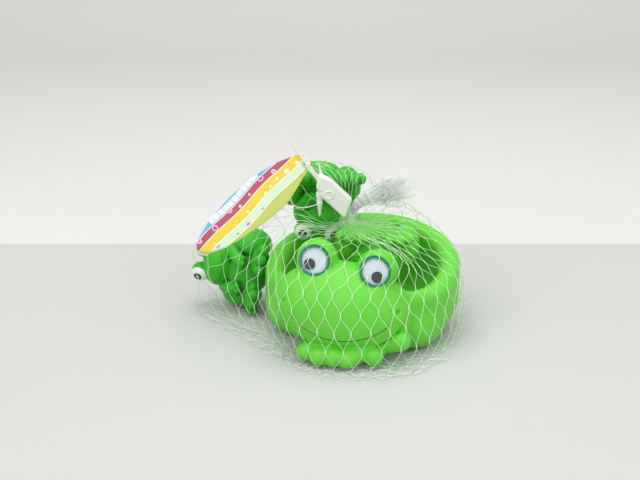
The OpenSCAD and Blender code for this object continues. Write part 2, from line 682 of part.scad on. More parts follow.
// Clip frame: z runs up the clip and strap, x across it, y its thickness
module clip_frame() {
    translate(clip_at) rotate([0, -clip_lean, 0]) children();
}

module clip_slab(z, w, t) {
    translate([0, 0, z]) scale([w, t, t * 0.6]) sphere(1 / 2, $fn = fn_mid);
}

// Frame of the card: its pin is z, its long axis runs down to the left
module card_frame() {
    clip_frame() translate([0, card_back, card_seat]) rotate([0, 180 - card_slope + clip_lean, 0])
        rotate([-90, 0, card_yaw]) children();
}

module bag_clip() {
    color("whitesmoke") difference() {
        union() {
            clip_frame() {
                hull() {
                    clip_slab(clip_t * 0.3, clip_w * 0.75, clip_t);
                    clip_slab(clip_len * 0.45, clip_w, clip_t);
                    clip_slab(clip_len * 0.92, clip_w * 0.5, clip_t * 0.6);
                }
                translate([0, 0, clip_len * 0.85]) rotate([0, clip_lean + 184, 0])
                    cylinder(h = clip_len * 0.7, r1 = clip_t * 0.32, r2 = strap_t * 0.4, $fn = fn_small);
                translate([0, 0, clip_len * 0.85]) rotate([0, clip_lean, 0])
                    cylinder(h = clip_len * 0.36, r1 = clip_t * 0.25, r2 = strap_t * 0.3, $fn = fn_small);
                translate([-strap_w / 2, -strap_t / 2, clip_len * 0.8])
                    cube([strap_w, strap_t, card_seat - clip_len * 0.8]);
                translate([0, 0, card_seat - strap_w / 2])
                    cylinder(h = tail_len, r1 = strap_t / 2, r2 = strap_t * 0.2, $fn = fn_small);
            }
            card_frame() {
                translate([0, 0, -card_back])
                    cylinder(h = card_back * 2 + strap_t / 2, r = pin_r, $fn = fn_bore);
                translate([0, 0, card_t / 2 + soft_gap])
                    cylinder(h = strap_t, r = pin_r + strap_t, $fn = fn_bore);
            }
        }
        translate(bore_point(-clip_len)) rotate(bore_lean)
            cylinder(h = clip_len * 3, r = bore_r, $fn = fn_bore);
    }
}

// Header card: a lens that hangs by the hole in its upper tip, as shares of its length and width
card_shares = [[-0.034, 0.04], [-0.026, -0.08], [0.045, -0.14], [0.166, -0.23], [0.290, -0.31], [0.447, -0.27],
    [0.604, -0.18], [0.697, -0.12], [0.792, -0.04], [0.877, 0.08], [0.935, 0.20], [0.963, 0.32], [0.945, 0.44],
    [0.878, 0.55], [0.732, 0.65], [0.527, 0.67], [0.366, 0.62], [0.254, 0.56], [0.161, 0.48], [0.080, 0.38],
    [0.0, 0.26], [-0.026, 0.15]];

module header_card() {
    color("khaki") card_frame() translate([0, 0, -card_t / 2]) linear_extrude(card_t) difference() {
        polygon([for (s = card_shares) [s[0] * card_len, s[1] * card_w]]);
        circle(r = card_hole_r, $fn = fn_hole);
    }
}

mother_shell();
mother_squeaker("body");  // mother_squeaker_body
mother_squeaker("insert");  // mother_squeaker_insert
mother_squeaker("reed");  // mother_squeaker_reed
eye_frame(0) eye_cup();  // left_eye_cup
eye_frame(0) eye_disc();  // left_eye_disc
eye_frame(0) pupil(left_pupil_angle);  // left_pupil
eye_frame(0) eye_dome();  // left_eye_dome
eye_frame(1) eye_cup();  // right_eye_cup
eye_frame(1) eye_disc();  // right_eye_disc
eye_frame(1) pupil(right_pupil_angle);  // right_pupil
eye_frame(1) eye_dome();  // right_eye_dome
baby_shell(0);  // left_baby_shell
baby_squeaker(0, "body");  // left_baby_squeaker_body
baby_squeaker(0, "insert");  // left_baby_squeaker_insert
baby_squeaker(0, "reed");  // left_baby_squeaker_reed
baby_shell(1);  // top_baby_shell
baby_squeaker(1, "body");  // top_baby_squeaker_body
baby_squeaker(1, "insert");  // top_baby_squeaker_insert
baby_squeaker(1, "reed");  // top_baby_squeaker_reed
baby_shell(2);  // tub_baby_shell
baby_squeaker(2, "body");  // tub_baby_squeaker_body
baby_squeaker(2, "insert");  // tub_baby_squeaker_insert
baby_squeaker(2, "reed");  // tub_baby_squeaker_reed
net_base();
net_pouch();
net_tail();
bag_clip();
header_card();
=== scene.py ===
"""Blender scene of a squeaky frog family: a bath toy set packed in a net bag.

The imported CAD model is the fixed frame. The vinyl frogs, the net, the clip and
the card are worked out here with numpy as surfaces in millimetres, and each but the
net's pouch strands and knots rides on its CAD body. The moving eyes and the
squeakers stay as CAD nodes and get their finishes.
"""

import logging
from dataclasses import dataclass, field
from enum import Enum
from typing import Callable, Sequence

import bpy
import numpy as np
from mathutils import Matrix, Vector


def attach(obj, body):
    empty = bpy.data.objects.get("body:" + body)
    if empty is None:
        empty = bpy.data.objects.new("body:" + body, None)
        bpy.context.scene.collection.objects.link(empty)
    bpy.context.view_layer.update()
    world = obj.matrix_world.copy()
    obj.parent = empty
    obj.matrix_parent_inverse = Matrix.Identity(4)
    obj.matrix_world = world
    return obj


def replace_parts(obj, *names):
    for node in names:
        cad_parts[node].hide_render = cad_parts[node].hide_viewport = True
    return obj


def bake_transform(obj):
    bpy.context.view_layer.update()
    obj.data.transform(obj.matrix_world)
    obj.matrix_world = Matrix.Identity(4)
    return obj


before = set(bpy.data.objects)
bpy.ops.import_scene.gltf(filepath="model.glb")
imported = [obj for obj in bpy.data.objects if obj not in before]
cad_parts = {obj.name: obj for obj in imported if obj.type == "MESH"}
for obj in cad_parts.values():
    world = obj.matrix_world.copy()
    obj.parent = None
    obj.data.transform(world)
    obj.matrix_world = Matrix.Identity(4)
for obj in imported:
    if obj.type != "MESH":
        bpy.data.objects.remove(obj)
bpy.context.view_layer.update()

log = logging.getLogger("frog_family")
logging.basicConfig(level=logging.INFO, format="%(name)s: %(message)s")

MM = 0.001
TIP = 0.02
Array = np.ndarray
Pair = tuple[float, float]
Point = tuple[float, float, float]
Part = tuple[Point, Point]
Form = Callable[[Array], Array]
Socket = bpy.types.NodeSocket
Material = bpy.types.Material
Object = bpy.types.Object


# Vector helpers


def turn(angles: Sequence[float]) -> Array:
    """Rotation by angles in degrees about x, then y, then z.

    Args:
        angles: The three angles.

    Returns:
        A 3 by 3 matrix.
    """
    (cx, cy, cz), (sx, sy, sz) = np.cos(np.radians(angles)), np.sin(np.radians(angles))
    about_x = np.array([[1, 0, 0], [0, cx, -sx], [0, sx, cx]])
    about_y = np.array([[cy, 0, sy], [0, 1, 0], [-sy, 0, cy]])
    about_z = np.array([[cz, -sz, 0], [sz, cz, 0], [0, 0, 1]])
    return about_z @ about_y @ about_x


def length(v: Array) -> Array:
    """Length of each row vector."""
    return np.sqrt((v * v).sum(-1))


def unit(v: Array) -> Array:
    """Each row vector over its own length."""
    return v / np.maximum(length(v), 1e-9)[..., None]


def ease(t: Array) -> Array:
    """Smooth step from 0 to 1 over t from 0 to 1: 3 t squared less 2 t cubed."""
    t = np.clip(t, 0.0, 1.0)
    return t * t * (3.0 - 2.0 * t)


def ramp(value: Array, low: float, high: float) -> Array:
    """Smooth step over value from low to high."""
    return ease((value - low) / (high - low))


def weld(a: Array, b: Array, radius: float) -> Array:
    """Union of two distance fields with a fillet, the polynomial smooth minimum.

    Args:
        a: Signed distance to the first form.
        b: Signed distance to the second form.
        radius: Width of the fillet in millimetres.

    Returns:
        Signed distance to the welded form.
    """
    h = np.clip(0.5 + 0.5 * (b - a) / radius, 0.0, 1.0)
    return b * (1.0 - h) + a * h - radius * h * (1.0 - h)


# Forms that the frogs are modelled from


@dataclass(frozen=True)
class Oval:
    """An ellipsoid with its middle, half sizes and turn."""

    middle: Point
    half: Point
    angles: Point = (0.0, 0.0, 0.0)

    def local(self, points: Array) -> Array:
        """Points in the oval's own frame."""
        return (points - np.array(self.middle, np.float32)) @ turn(self.angles).astype(np.float32)

    def bearings(self, points: Array) -> tuple[Array, Array]:
        """Azimuth from -y and height of points in degrees, as on a ball stretched to the oval."""
        q = self.local(points) / np.array(self.half, np.float32)
        az = np.degrees(np.arctan2(q[:, 0], -q[:, 1]))
        return az, np.degrees(np.arcsin(np.clip(q[:, 2] / np.maximum(length(q), 1e-6), -1, 1)))

    def distance(self, points: Array) -> Array:
        """Nearly the signed distance: k (k - 1) over the length of q by the squared half sizes.

        Args:
            points: Where the distance is wanted.

        Returns:
            Signed distance.
        """
        q = self.local(points)
        half = np.array(self.half, np.float32)
        k = length(q / half)
        return k * (k - 1.0) / np.maximum(length(q / (half * half)), 1e-6)


@dataclass(frozen=True)
class Bar:
    """A round-ended bar whose radius runs from one end's to the other's."""

    start: Point
    end: Point
    start_radius: float
    end_radius: float

    def distance(self, points: Array) -> Array:
        """Distance to the nearest point of the axis, less the radius there.

        Args:
            points: Where the distance is wanted.

        Returns:
            Signed distance.
        """
        a = np.array(self.start, np.float32)
        axis = np.array(self.end, np.float32) - a
        t = np.clip((points - a) @ axis / float(axis @ axis), 0.0, 1.0)
        radius = self.start_radius + (self.end_radius - self.start_radius) * t
        return length(points - a - t[..., None] * axis) - radius


def welded(first: Array, forms: Sequence[Oval | Bar], points: Array, radius: float) -> Array:
    """Union of a first distance field with several forms, one after the other.

    Args:
        first: Signed distance to the first form.
        forms: The forms.
        points: Where the distances are wanted.
        radius: Width of each fillet.

    Returns:
        Signed distance to all of them.
    """
    for form in forms:
        first = weld(first, form.distance(points), radius)
    return first


@dataclass(frozen=True)
class Skin:
    """A mesh in millimetres: its points, faces and named values at the points."""

    points: Array
    faces: Array
    values: dict[str, Array] = field(default_factory=dict)


def net_of_cells(form: Form, axes: Sequence[Array], polish: int = 3) -> Skin:
    """Draws the surface where a distance field is zero, by surface nets.

    Each cell that the surface crosses gets one point, the mean of the crossings on
    its edges. Each crossed edge gives a face between the four cells round it. The
    points then walk along the field's slope on to the surface.

    Args:
        form: Signed distance at an array of points.
        axes: Grid coordinates along x, y and z.
        polish: Number of walks to the surface.

    Returns:
        The surface.
    """
    grid = np.stack(np.meshgrid(*[a.astype(np.float32) for a in axes], indexing="ij"), -1)
    values = np.stack([form(plane.reshape(-1, 3)).reshape(plane.shape[:2]) for plane in grid])
    inside = values < 0
    shape = np.array(values.shape)
    cells, spots, rings = [], [], []
    units = np.eye(3, dtype=int)
    for axis, step in enumerate(units):
        low, high = [slice(None)] * 3, [slice(None)] * 3
        low[axis], high[axis] = slice(None, -1), slice(1, None)
        edge = np.argwhere(inside[tuple(low)] != inside[tuple(high)])
        others = [k for k in range(3) if k != axis]
        edge = edge[(edge[:, others] > 0).all(1) & (edge[:, others] < shape[others] - 1).all(1)]
        a, b = values[tuple(edge.T)], values[tuple((edge + step).T)]
        share = (a / (a - b))[:, None]
        spot = grid[tuple(edge.T)] * (1 - share) + grid[tuple((edge + step).T)] * share
        u, v = units[(axis + 1) % 3], units[(axis + 2) % 3]
        around = np.stack([edge - u - v, edge - v, edge, edge - u], 1)
        flat = np.ravel_multi_index(tuple(np.moveaxis(around, -1, 0)), tuple(shape))
        rings.append(np.where((a < 0)[:, None], flat, flat[:, ::-1]))
        cells.append(flat.ravel())
        spots.append(np.repeat(spot, 4, 0))
    names, place = np.unique(np.concatenate(cells), return_inverse=True)
    spot = np.concatenate(spots)
    count = np.bincount(place)
    points = np.stack([np.bincount(place, spot[:, k]) / count for k in range(3)], -1)
    faces = np.searchsorted(names, np.concatenate(rings))
    for _ in range(polish):
        points = points - to_surface(form, points, 0.6)
    return Skin(points, faces)


def slope(form: Form, points: Array, reach: float = 0.05) -> Array:
    """Gradient of a distance field by central differences."""
    sides = [(form(points + reach * e) - form(points - reach * e)) / (2 * reach) for e in np.eye(3)]
    return np.stack(sides, -1)


def to_surface(form: Form, points: Array, most: float) -> Array:
    """Newton's step from the surface to each point.

    Args:
        form: The surface's distance field.
        points: The points.
        most: The longest step.

    Returns:
        A step for each point.
    """
    g = slope(form, points)
    step = (form(points) / np.maximum((g * g).sum(-1), 1e-3))[:, None] * g
    return step * np.minimum(1.0, most / np.maximum(length(step), 1e-9))[:, None]


# Making Blender objects


def piece(name: str, skin: Skin, finish: Material, body: str) -> Object:
    """Makes a mesh object from a skin, gives it its finish and puts it on its body.

    Args:
        name: The piece's name.
        skin: Its surface in millimetres.
        finish: Its material.
        body: The CAD body that it rides on, or "" for none.

    Returns:
        The new object.
    """
    mesh = bpy.data.meshes.new(name)
    count, sides = skin.faces.shape
    mesh.vertices.add(len(skin.points))
    mesh.vertices.foreach_set("co", (skin.points * MM).astype(np.float32).ravel())
    mesh.loops.add(count * sides)
    mesh.loops.foreach_set("vertex_index", skin.faces.astype(np.int32).ravel())
    mesh.polygons.add(count)
    mesh.polygons.foreach_set("loop_start", np.arange(0, count * sides, sides, dtype=np.int32))
    mesh.update(calc_edges=True)
    mesh.polygons.foreach_set("use_smooth", np.ones(count, bool))
    for key, value in skin.values.items():
        if key == "UVMap":
            layer = mesh.uv_layers.new(name="UVMap")
            layer.data.foreach_set("uv", value[skin.faces.ravel()].astype(np.float32).ravel())
        else:
            layer = mesh.attributes.new(key, "FLOAT", "POINT")
            layer.data.foreach_set("value", value.astype(np.float32))
    mesh.validate()
    mesh.materials.append(finish)
    made = bpy.data.objects.new(name, mesh)
    bpy.context.scene.collection.objects.link(made)
    if body:
        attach(made, body)
    log.info("%s: %d points, %d faces", name, len(skin.points), count)
    return made


def tubes(paths: Array, radii: Array, sides: int = 5) -> Skin:
    """Carries a polygon along many paths of the same number of points, each end drawn in.

    The ring at each point stands square to the path. Its first side axis is the cross
    product of the path's direction and a fixed one across it, so it does not twist much.

    Args:
        paths: Paths by points by 3.
        radii: Radius at each point of each path.
        sides: Sides of the polygon.

    Returns:
        One surface that holds all the tubes.
    """
    many, steps = paths.shape[:2]
    along = unit(np.gradient(paths, axis=1))
    overall = unit(paths[:, -1] - paths[:, 0] + 1e-6)
    helper = np.eye(3)[np.abs(overall).argmin(-1)][:, None, :]
    first = unit(np.cross(along, helper))
    second = np.cross(along, first)
    angle = (2 * np.pi * np.arange(sides) / sides)[:, None]
    spread = np.cos(angle) * first[:, :, None] + np.sin(angle) * second[:, :, None]
    radii = radii.copy()
    radii[:, [0, -1]] = TIP
    rings = paths[:, :, None] + spread * radii[:, :, None, None]
    base = (np.arange(many)[:, None, None] * steps + np.arange(steps - 1)[None, :, None]) * sides
    k = np.arange(sides)[None, None, :]
    nxt = (k + 1) % sides
    faces = np.stack([base + k, base + nxt, base + nxt + sides, base + k + sides], -1)
    return Skin(rings.reshape(-1, 3), faces.reshape(-1, 4))


def joined(skins: Sequence[Skin]) -> Skin:
    """Several skins as one, with their faces counted on.

    Args:
        skins: Skins without values.

    Returns:
        One skin.
    """
    offset = np.cumsum([0] + [len(s.points) for s in skins[:-1]])
    faces = np.concatenate([s.faces + o for s, o in zip(skins, offset)])
    return Skin(np.concatenate([s.points for s in skins]), faces)


def risers(rows: int) -> list[tuple[int, int]]:
    """Row and sideways step of each run of net strands: a knot joins its two upper neighbours."""
    return [(row, lean - 1 + row % 2) for lean in (0, 1) for row in range(rows)]


# Finishes


class Shader:
    """Builds one material's nodes by short calls."""

    def __init__(self, name: str) -> None:
        """Starts a material with a Principled shader."""
        self.material = bpy.data.materials.new(name)
        self.material.use_nodes = True
        self.tree = self.material.node_tree
        self.main = self.tree.nodes["Principled BSDF"]

    def node(self, kind: str, inputs: dict[str | int, object],
             **settings: object) -> bpy.types.Node:
        """Adds a node.

        Args:
            kind: The node's type.
            inputs: A socket, number or colour for each of its inputs, by name or place.
            **settings: Properties to set on it.

        Returns:
            The node.
        """
        made = self.tree.nodes.new(kind)
        for key, value in settings.items():
            setattr(made, key, value)
        for key, value in inputs.items():
            socket = made.inputs[key]
            if isinstance(value, Socket):
                self.link(value, socket)
            else:
                socket.default_value = (*value, 1.0) if socket.type == "RGBA" else value
        return made

    def link(self, source: Socket, target: Socket) -> None:
        """Joins two sockets."""
        self.tree.links.new(source, target)

    def set(self, **values: object) -> None:
        """Sets constants on the shader's own sockets, underscores standing for spaces."""
        for key, value in values.items():
            self.main.inputs[key.replace("_", " ")].default_value = value

    def object_place(self) -> Socket:
        """Object coordinates."""
        return self.node("ShaderNodeTexCoord", {}).outputs["Object"]

    def object_noise(self, scale: float, detail: float = 3.0) -> Socket:
        """Noise on Object coordinates, with its waves in a metre and its octaves."""
        settings = {"Vector": self.object_place(), "Scale": scale, "Detail": detail}
        return self.node("ShaderNodeTexNoise", settings).outputs["Fac"]

    def number(self, name: str) -> Socket:
        """A named value that the mesh carries at its points."""
        return self.node("ShaderNodeAttribute", {}, attribute_name=name).outputs["Fac"]

    def maths(self, kind: str, a: object, b: object = 0.0, clamp: bool = False) -> Socket:
        """A Math node's result for two numbers or sockets, clamped to 0 to 1 or not."""
        return self.node("ShaderNodeMath", {0: a, 1: b}, operation=kind, use_clamp=clamp).outputs[0]

    def times(self, a: object, b: object, clamp: bool = False) -> Socket:
        """The product of two numbers or sockets."""
        return self.maths("MULTIPLY", a, b, clamp)

    def band(self, value: Socket, low: float, high: float, soft: float) -> Socket:
        """1 between low and high and 0 outside.

        Args:
            value: What is tested.
            low: Lower edge.
            high: Upper edge.
            soft: Width over which each edge fades.

        Returns:
            The share.
        """
        up = self.maths("DIVIDE", self.maths("SUBTRACT", value, low - soft / 2), soft, True)
        down = self.maths("DIVIDE", self.maths("SUBTRACT", high + soft / 2, value), soft, True)
        return self.times(up, down)

    def mix(self, share: object, a: object, b: object) -> Socket:
        """The mix of two colours, each a tuple or a socket, by a share."""
        return self.node("ShaderNodeMix", {0: share, 6: a, 7: b}, data_type="RGBA").outputs[2]

    def colour(self, value: Socket) -> None:
        """Drives the base colour."""
        self.link(value, self.main.inputs["Base Color"])

    def rough(self, value: Socket, low: float, high: float) -> None:
        """Drives the roughness between two values."""
        spread = self.node("ShaderNodeMapRange", {"Value": value, "To Min": low, "To Max": high})
        self.link(spread.outputs[0], self.main.inputs["Roughness"])

    def bump(self, height: Socket, depth: float, strength: float = 1.0) -> None:
        """Drives the normal by a height, with its depth in metres."""
        settings = {"Strength": strength, "Distance": depth, "Height": height}
        self.link(self.node("ShaderNodeBump", settings).outputs[0], self.main.inputs["Normal"])


class Features(Enum):
    """What is painted on a frog: eyes that the maker sprays, or painted shade in the mouth's groove
    and dimples.
    """

    # Painted shade in the mouth's groove and its corner dimples.
    MOUTH_SHADE = "mouth line"
    EYES = "eyes"


@dataclass(frozen=True)
class SoftVinyl:
    """Thin-walled soft vinyl, spray tinted, with painted shade in its folds, and painted eyes or
    painted shade in the mouth's groove and dimples.
    """

    name: str
    features: Features
    lit: Point = (0.145, 0.585, 0.050)
    deep: Point = (0.095, 0.485, 0.026)
    # Painted shade colour for folds and recesses, laid on by how open the skin is.
    crease_shade: Point = (0.026, 0.540, 0.005)
    # Painted shade colour along the mouth's groove.
    groove_shade: Point = (0.002, 0.040, 0.002)
    # Painted shade colour in the dimples at the mouth's corners.
    dimple: Point = (0.03, 0.24, 0.012)
    eye_rings: tuple[tuple[float, float, Point], ...] = (
        (-50.0, 60.0, (0.72, 0.77, 0.70)),
        (-50.0, 13.0, (0.26, 0.38, 0.30)),
        (12.0, 25.0, (0.010, 0.012, 0.012)),
    )

    def material(self) -> Material:
        """Builds the material.

        Returns:
            Lime vinyl that varies slowly, with painted shade in its folds and recesses.
        """
        s = Shader(self.name)
        s.set(Roughness=0.42, IOR=1.48, Specular_IOR_Level=0.35, Coat_Weight=0.05,
              Coat_Roughness=0.25, Subsurface_Weight=0.2, Subsurface_Scale=0.005,
              Subsurface_Radius=(0.3, 1.0, 0.15))
        slow = s.object_noise(22.0, 2.0)
        tint = s.mix(s.times(slow, 0.9, True), self.lit, self.deep)
        # Painted shade: darker where the skin is least open, in folds and recesses.
        crease_shade_share = s.times(s.maths("SUBTRACT", 1.0, s.number("open")), 0.9, True)
        tint = s.mix(crease_shade_share, tint, self.crease_shade)
        if self.features is Features.MOUTH_SHADE:
            # Painted shade along the mouth's groove, on the mother only.
            line = s.times(s.band(s.number("lip"), -0.55, 0.70, 0.3), s.number("smile"))
            tint = s.mix(line, tint, self.groove_shade)
            # Painted shade in the mouth's corner dimples.
            tint = s.mix(s.band(s.number("pit"), -1.0, 1.2, 1.2), tint, self.dimple)
        else:
            gaze = s.number("gaze")
            for low, high, colour in self.eye_rings:
                tint = s.mix(s.band(gaze, low, high, 3.0), tint, colour)
        s.colour(tint)
        s.rough(s.object_noise(140.0), 0.36, 0.52)
        s.bump(s.object_noise(420.0, 4.0), 0.00012, 0.35)
        return s.material


@dataclass(frozen=True)
class Plastic:
    """Moulded or drawn plastic with a slight cloud in its colour and a fine grain."""

    name: str
    colour: Point
    cloud: Point
    roughness: float = 0.35
    cloud_scale: float = 60.0
    grain: float = 0.00005
    coat: float = 0.0
    alpha: float = 1.0

    def material(self) -> Material:
        """Builds the material.

        Returns:
            The plastic.
        """
        s = Shader(self.name)
        s.set(Coat_Weight=self.coat, Coat_Roughness=0.08, IOR=1.47, Alpha=self.alpha)
        cloud = s.object_noise(self.cloud_scale)
        s.colour(s.mix(cloud, self.colour, self.cloud))
        s.rough(cloud, self.roughness * 0.85, self.roughness * 1.2)
        if self.grain:
            s.bump(s.object_noise(900.0), self.grain, 0.3)
        return s.material


# The mother frog


@dataclass(frozen=True)
class TubShape:
    """The round tub on the mother's back, cut back at the front and high at the back."""

    radius: float = 62.0
    wall: float = 6.5
    rim: float = 46.5
    lean: float = 10.0
    base: float = 0.9
    floor: float = 13.9
    flat: float = 40.0
    side: float = 24.0
    front_cut: float = 0.15
    cut_from: float = 40.0
    cut_to: float = 66.0
    lean_from: float = 17.0

    def radius_at(self, az: Array) -> Array:
        """Outer radius at an azimuth in degrees, cut back round the front."""
        front = np.abs((az + 630.0) % 360.0 - 180.0)
        return self.radius * (1 - self.front_cut * (1 - ramp(front, self.cut_from, self.cut_to)))

    def outline(self) -> Array:
        """Profile of the tub: side, round rim, inner side, closed on the axis.

        Returns:
            Radius and height of each point.
        """
        a = np.radians(np.linspace(0, 90, 25))
        b = np.radians(np.linspace(0, 180, 31))
        inner = self.radius - 2 * self.wall
        w, back = self.wall, a[::-1]
        side = [self.flat + (self.radius - self.flat) * np.sin(a),
                self.base + self.side * (1 - np.cos(a))]
        rim = [self.radius - w + w * np.cos(b), self.rim - w + w * np.sin(b)]
        well = [self.flat - w + (inner - self.flat + w) * np.sin(back),
                self.floor + (self.side - w) * (1 - np.cos(back))]
        runs = [np.array(run).T for run in (side, rim, well)]
        return np.concatenate([[[0.0, self.base]], *runs, [[0.0, self.floor]]])

    def table(self, step: float = 0.5) -> tuple[Array, Array, Array]:
        """Signed distance to the profile on a flat grid of radius and height.

        Args:
            step: The grid's step.

        Returns:
            The radii, the heights and the distances.
        """
        r, z = np.arange(0.0, 80.0, step), np.arange(-8.0, 62.0, step)
        q = np.stack(np.meshgrid(r, z, indexing="ij"), -1).reshape(-1, 1, 2)
        p = self.outline()
        a, b = p[:-1][None], p[1:][None]
        edge = b - a
        t = np.clip(((q - a) * edge).sum(-1) / np.maximum((edge * edge).sum(-1), 1e-9), 0, 1)
        near = length(q - a - t[..., None] * edge).min(1)
        over = (a[..., 1] > q[..., 1]) != (b[..., 1] > q[..., 1])
        rise = np.where(over, edge[..., 1], 1.0)
        cross = a[..., 0] + (q[..., 1] - a[..., 1]) * edge[..., 0] / rise
        odd = (over & (q[..., 0] < cross)).sum(1) % 2 == 1
        return r, z, np.where(odd, -near, near).reshape(len(r), len(z))

    def distance(self, points: Array, table: tuple[Array, Array, Array]) -> Array:
        """Distance to the tub: the point is moved to the plain profile's place, then looked up.

        Args:
            points: Points in the mother's frame.
            table: The profile's table of distances.

        Returns:
            Signed distance.
        """
        r, z, values = table
        az = np.degrees(np.arctan2(points[:, 1], points[:, 0]))
        radius = self.radius_at(az)
        rise = np.tan(np.radians(self.lean)) * radius * np.sin(np.radians(az))
        inner = self.flat - self.wall
        rr = length(points[:, :2])
        spread = inner + (rr - inner) * (self.radius - inner) / (radius - inner)
        rr = np.where(rr > inner, spread, rr)
        top = np.minimum(self.rim + rise, self.rim) - self.wall
        share = (points[:, 2] - self.lean_from) / (top - self.lean_from)
        zz = points[:, 2] - rise * np.clip(share, 0.0, 1.0)
        i = np.clip((rr - r[0]) / (r[1] - r[0]), 0, len(r) - 1.001)
        j = np.clip((zz - z[0]) / (z[1] - z[0]), 0, len(z) - 1.001)
        i0, j0 = i.astype(int), j.astype(int)
        fi, fj = i - i0, j - j0
        low = values[i0, j0] * (1 - fj) + values[i0, j0 + 1] * fj
        high = values[i0 + 1, j0] * (1 - fj) + values[i0 + 1, j0 + 1] * fj
        return low * (1 - fi) + high * fi


@dataclass
class MotherFrog:
    """The mother: head, thighs and fingers welded to the tub, with eye sockets and a mouth."""

    facing: float = -17.0
    head: Oval = Oval((0.0, -45.0, 29.6), (43.0, 26.5, 29.0), (0.0, 8.0, 9.0))
    bumps: tuple[Point, ...] = ((-19.952, 1.59, 28.13), (16.684, 1.59, 28.13))
    bump_radius: float = 12.5
    socket_radius: float = 9.12
    socket_from: float = 7.175
    eye_turn: tuple[float, float] = (-6.0, 78.0)
    finger: float = 6.0
    mouth: tuple[float, float, float, float] = (-23.3, 30.0, 4.5, 50.0)
    groove: Pair = (1.0, 0.6)
    jaw_in: float = 0.8
    chin_in: float = 3.4
    eye_ring: Point = (9.95, 8.0, 0.95)
    dimples: tuple[Pair, ...] = ((-57.0, 9.0), (57.0, 20.0))
    dimple_radius: float = 1.5
    right_hand: tuple[Point, ...] = ((9.11, -67.27, 1.0), (23.5, -60.45, 1.08), (38.2, -52.7, 2.5))
    right_palm: Point = (22.38, -49.6, 1.5)
    left_hand: tuple[Point, ...] = ((-17.05, -65.1, 1.1), (-8.06, -68.2, 1.0), (0.62, -67.58, 1.0))
    left_palm: Point = (-12.4, -58.9, 1.2)
    thigh_at: Point = (37.58, -20.46, 14.43)
    thigh_half: Point = (18.5, 20.35, 14.8)
    thigh_fillet: float = 6.0
    bump_fillet: float = 3.5
    neck_fillet: float = 4.0
    finger_fillet: float = 2.4
    hand_fillet: float = 2.0
    ring_fillet: float = 0.8
    dimple_fillet: float = 1.4
    tub: TubShape = TubShape()

    def __post_init__(self) -> None:
        """Works out the tub's table and the eye frames."""
        self.table = self.tub.table()
        yaw, pitch = self.eye_turn
        self.eye_axes = turn(self.head.angles) @ turn((0, 0, yaw)) @ turn((pitch, 0, 0))
        self.eye_middles = [np.array(self.head.middle) + turn(self.head.angles) @ np.array(b)
                            for b in self.bumps]

    def thighs(self) -> list[Oval]:
        """The two thigh bulges at the tub's front sides."""
        x, y, z = self.thigh_at
        return [Oval((s * x, y, z), self.thigh_half) for s in (-1, 1)]

    def finger_at(self, p: Point) -> Point:
        """A finger's or palm's middle, its height given in finger radii over the base."""
        return (p[0], p[1], self.tub.base + p[2] * self.finger)

    def head_angles(self, points: Array) -> tuple[Array, Array, Array]:
        """Where points lie on the head.

        Args:
            points: Points in the mother's frame.

        Returns:
            Azimuth and height in degrees, and how far below the lip line in millimetres.
        """
        az, el = self.head.bearings(points)
        low, lift, tilt, half = self.mouth
        u = az / half
        below = (low + lift * u * u + tilt * u - el) * 0.5
        return az, el, below

    def head_distance(self, points: Array) -> Array:
        """The head's oval, drawn in along the mouth line, over the jaw and under the chin.

        Args:
            points: Points in the mother's frame.

        Returns:
            Signed distance.
        """
        az, _, below = self.head_angles(points)
        side = 1 - ramp(np.abs(az), 40.0, 50.0)
        groove = self.groove[0] * np.exp(-((below / self.groove[1]) ** 2))
        jaw = self.jaw_in * ramp(below, -0.2, 0.7) * (1 - ramp(below, 7.0, 13.0))
        chin = self.chin_in * ramp(below, 10.5, 14.5) * (1 - ramp(np.abs(az), 52.0, 75.0))
        return self.head.distance(points) + side * (groove + jaw) + chin

    def hand(self, tips: Sequence[Point], palm: Point, points: Array) -> Array:
        """Distance to a hand: fingers that meet in the palm, and the arm up to the head.

        Args:
            tips: The fingertips.
            palm: The palm's middle.
            points: Points in the mother's frame.

        Returns:
            Signed distance.
        """
        wrist = self.finger_at(palm)
        fingers = [Bar(self.finger_at(tip), wrist, self.finger, self.finger) for tip in tips]
        arm = Bar(wrist, (palm[0], *self.head.middle[1:]), self.finger, self.finger)
        hand = welded(fingers[0].distance(points), fingers[1:], points, self.finger_fillet)
        return weld(hand, arm.distance(points), self.neck_fillet)

    def distance(self, points: Array) -> Array:
        """Signed distance to the mother's skin in her own frame.

        The tub, thighs, head and hands are welded, then the eye wells and dimples are
        cut, and the base is cut flat.

        Args:
            points: Points in her frame.

        Returns:
            Signed distance.
        """
        d = welded(self.tub.distance(points, self.table), self.thighs(), points, self.thigh_fillet)
        head = self.head_distance(points)
        for middle in self.eye_middles:
            bump = length(points - middle.astype(np.float32)) - self.bump_radius
            head = weld(head, bump, self.bump_fillet)
        d = weld(d, head, self.neck_fillet)
        for tips, palm in ((self.right_hand, self.right_palm), (self.left_hand, self.left_palm)):
            d = weld(d, self.hand(tips, palm, points), self.hand_fillet)
        radius, height, round_radius = self.eye_ring
        for middle in self.eye_middles:
            q = (points - middle.astype(np.float32)) @ self.eye_axes.astype(np.float32)
            across = length(q[:, :2])
            ring = np.hypot(across - radius, q[:, 2] - height) - round_radius
            d = weld(d, ring, self.ring_fillet)
            well = np.maximum(across - self.socket_radius, self.socket_from - q[:, 2])
            d = np.maximum(d, -well)
        for spot in self.dimple_spots():
            dimple = length(points - spot.astype(np.float32)) - self.dimple_radius
            d = -weld(-d, dimple, self.dimple_fillet)
        return np.maximum(d, self.tub.base - points[:, 2])

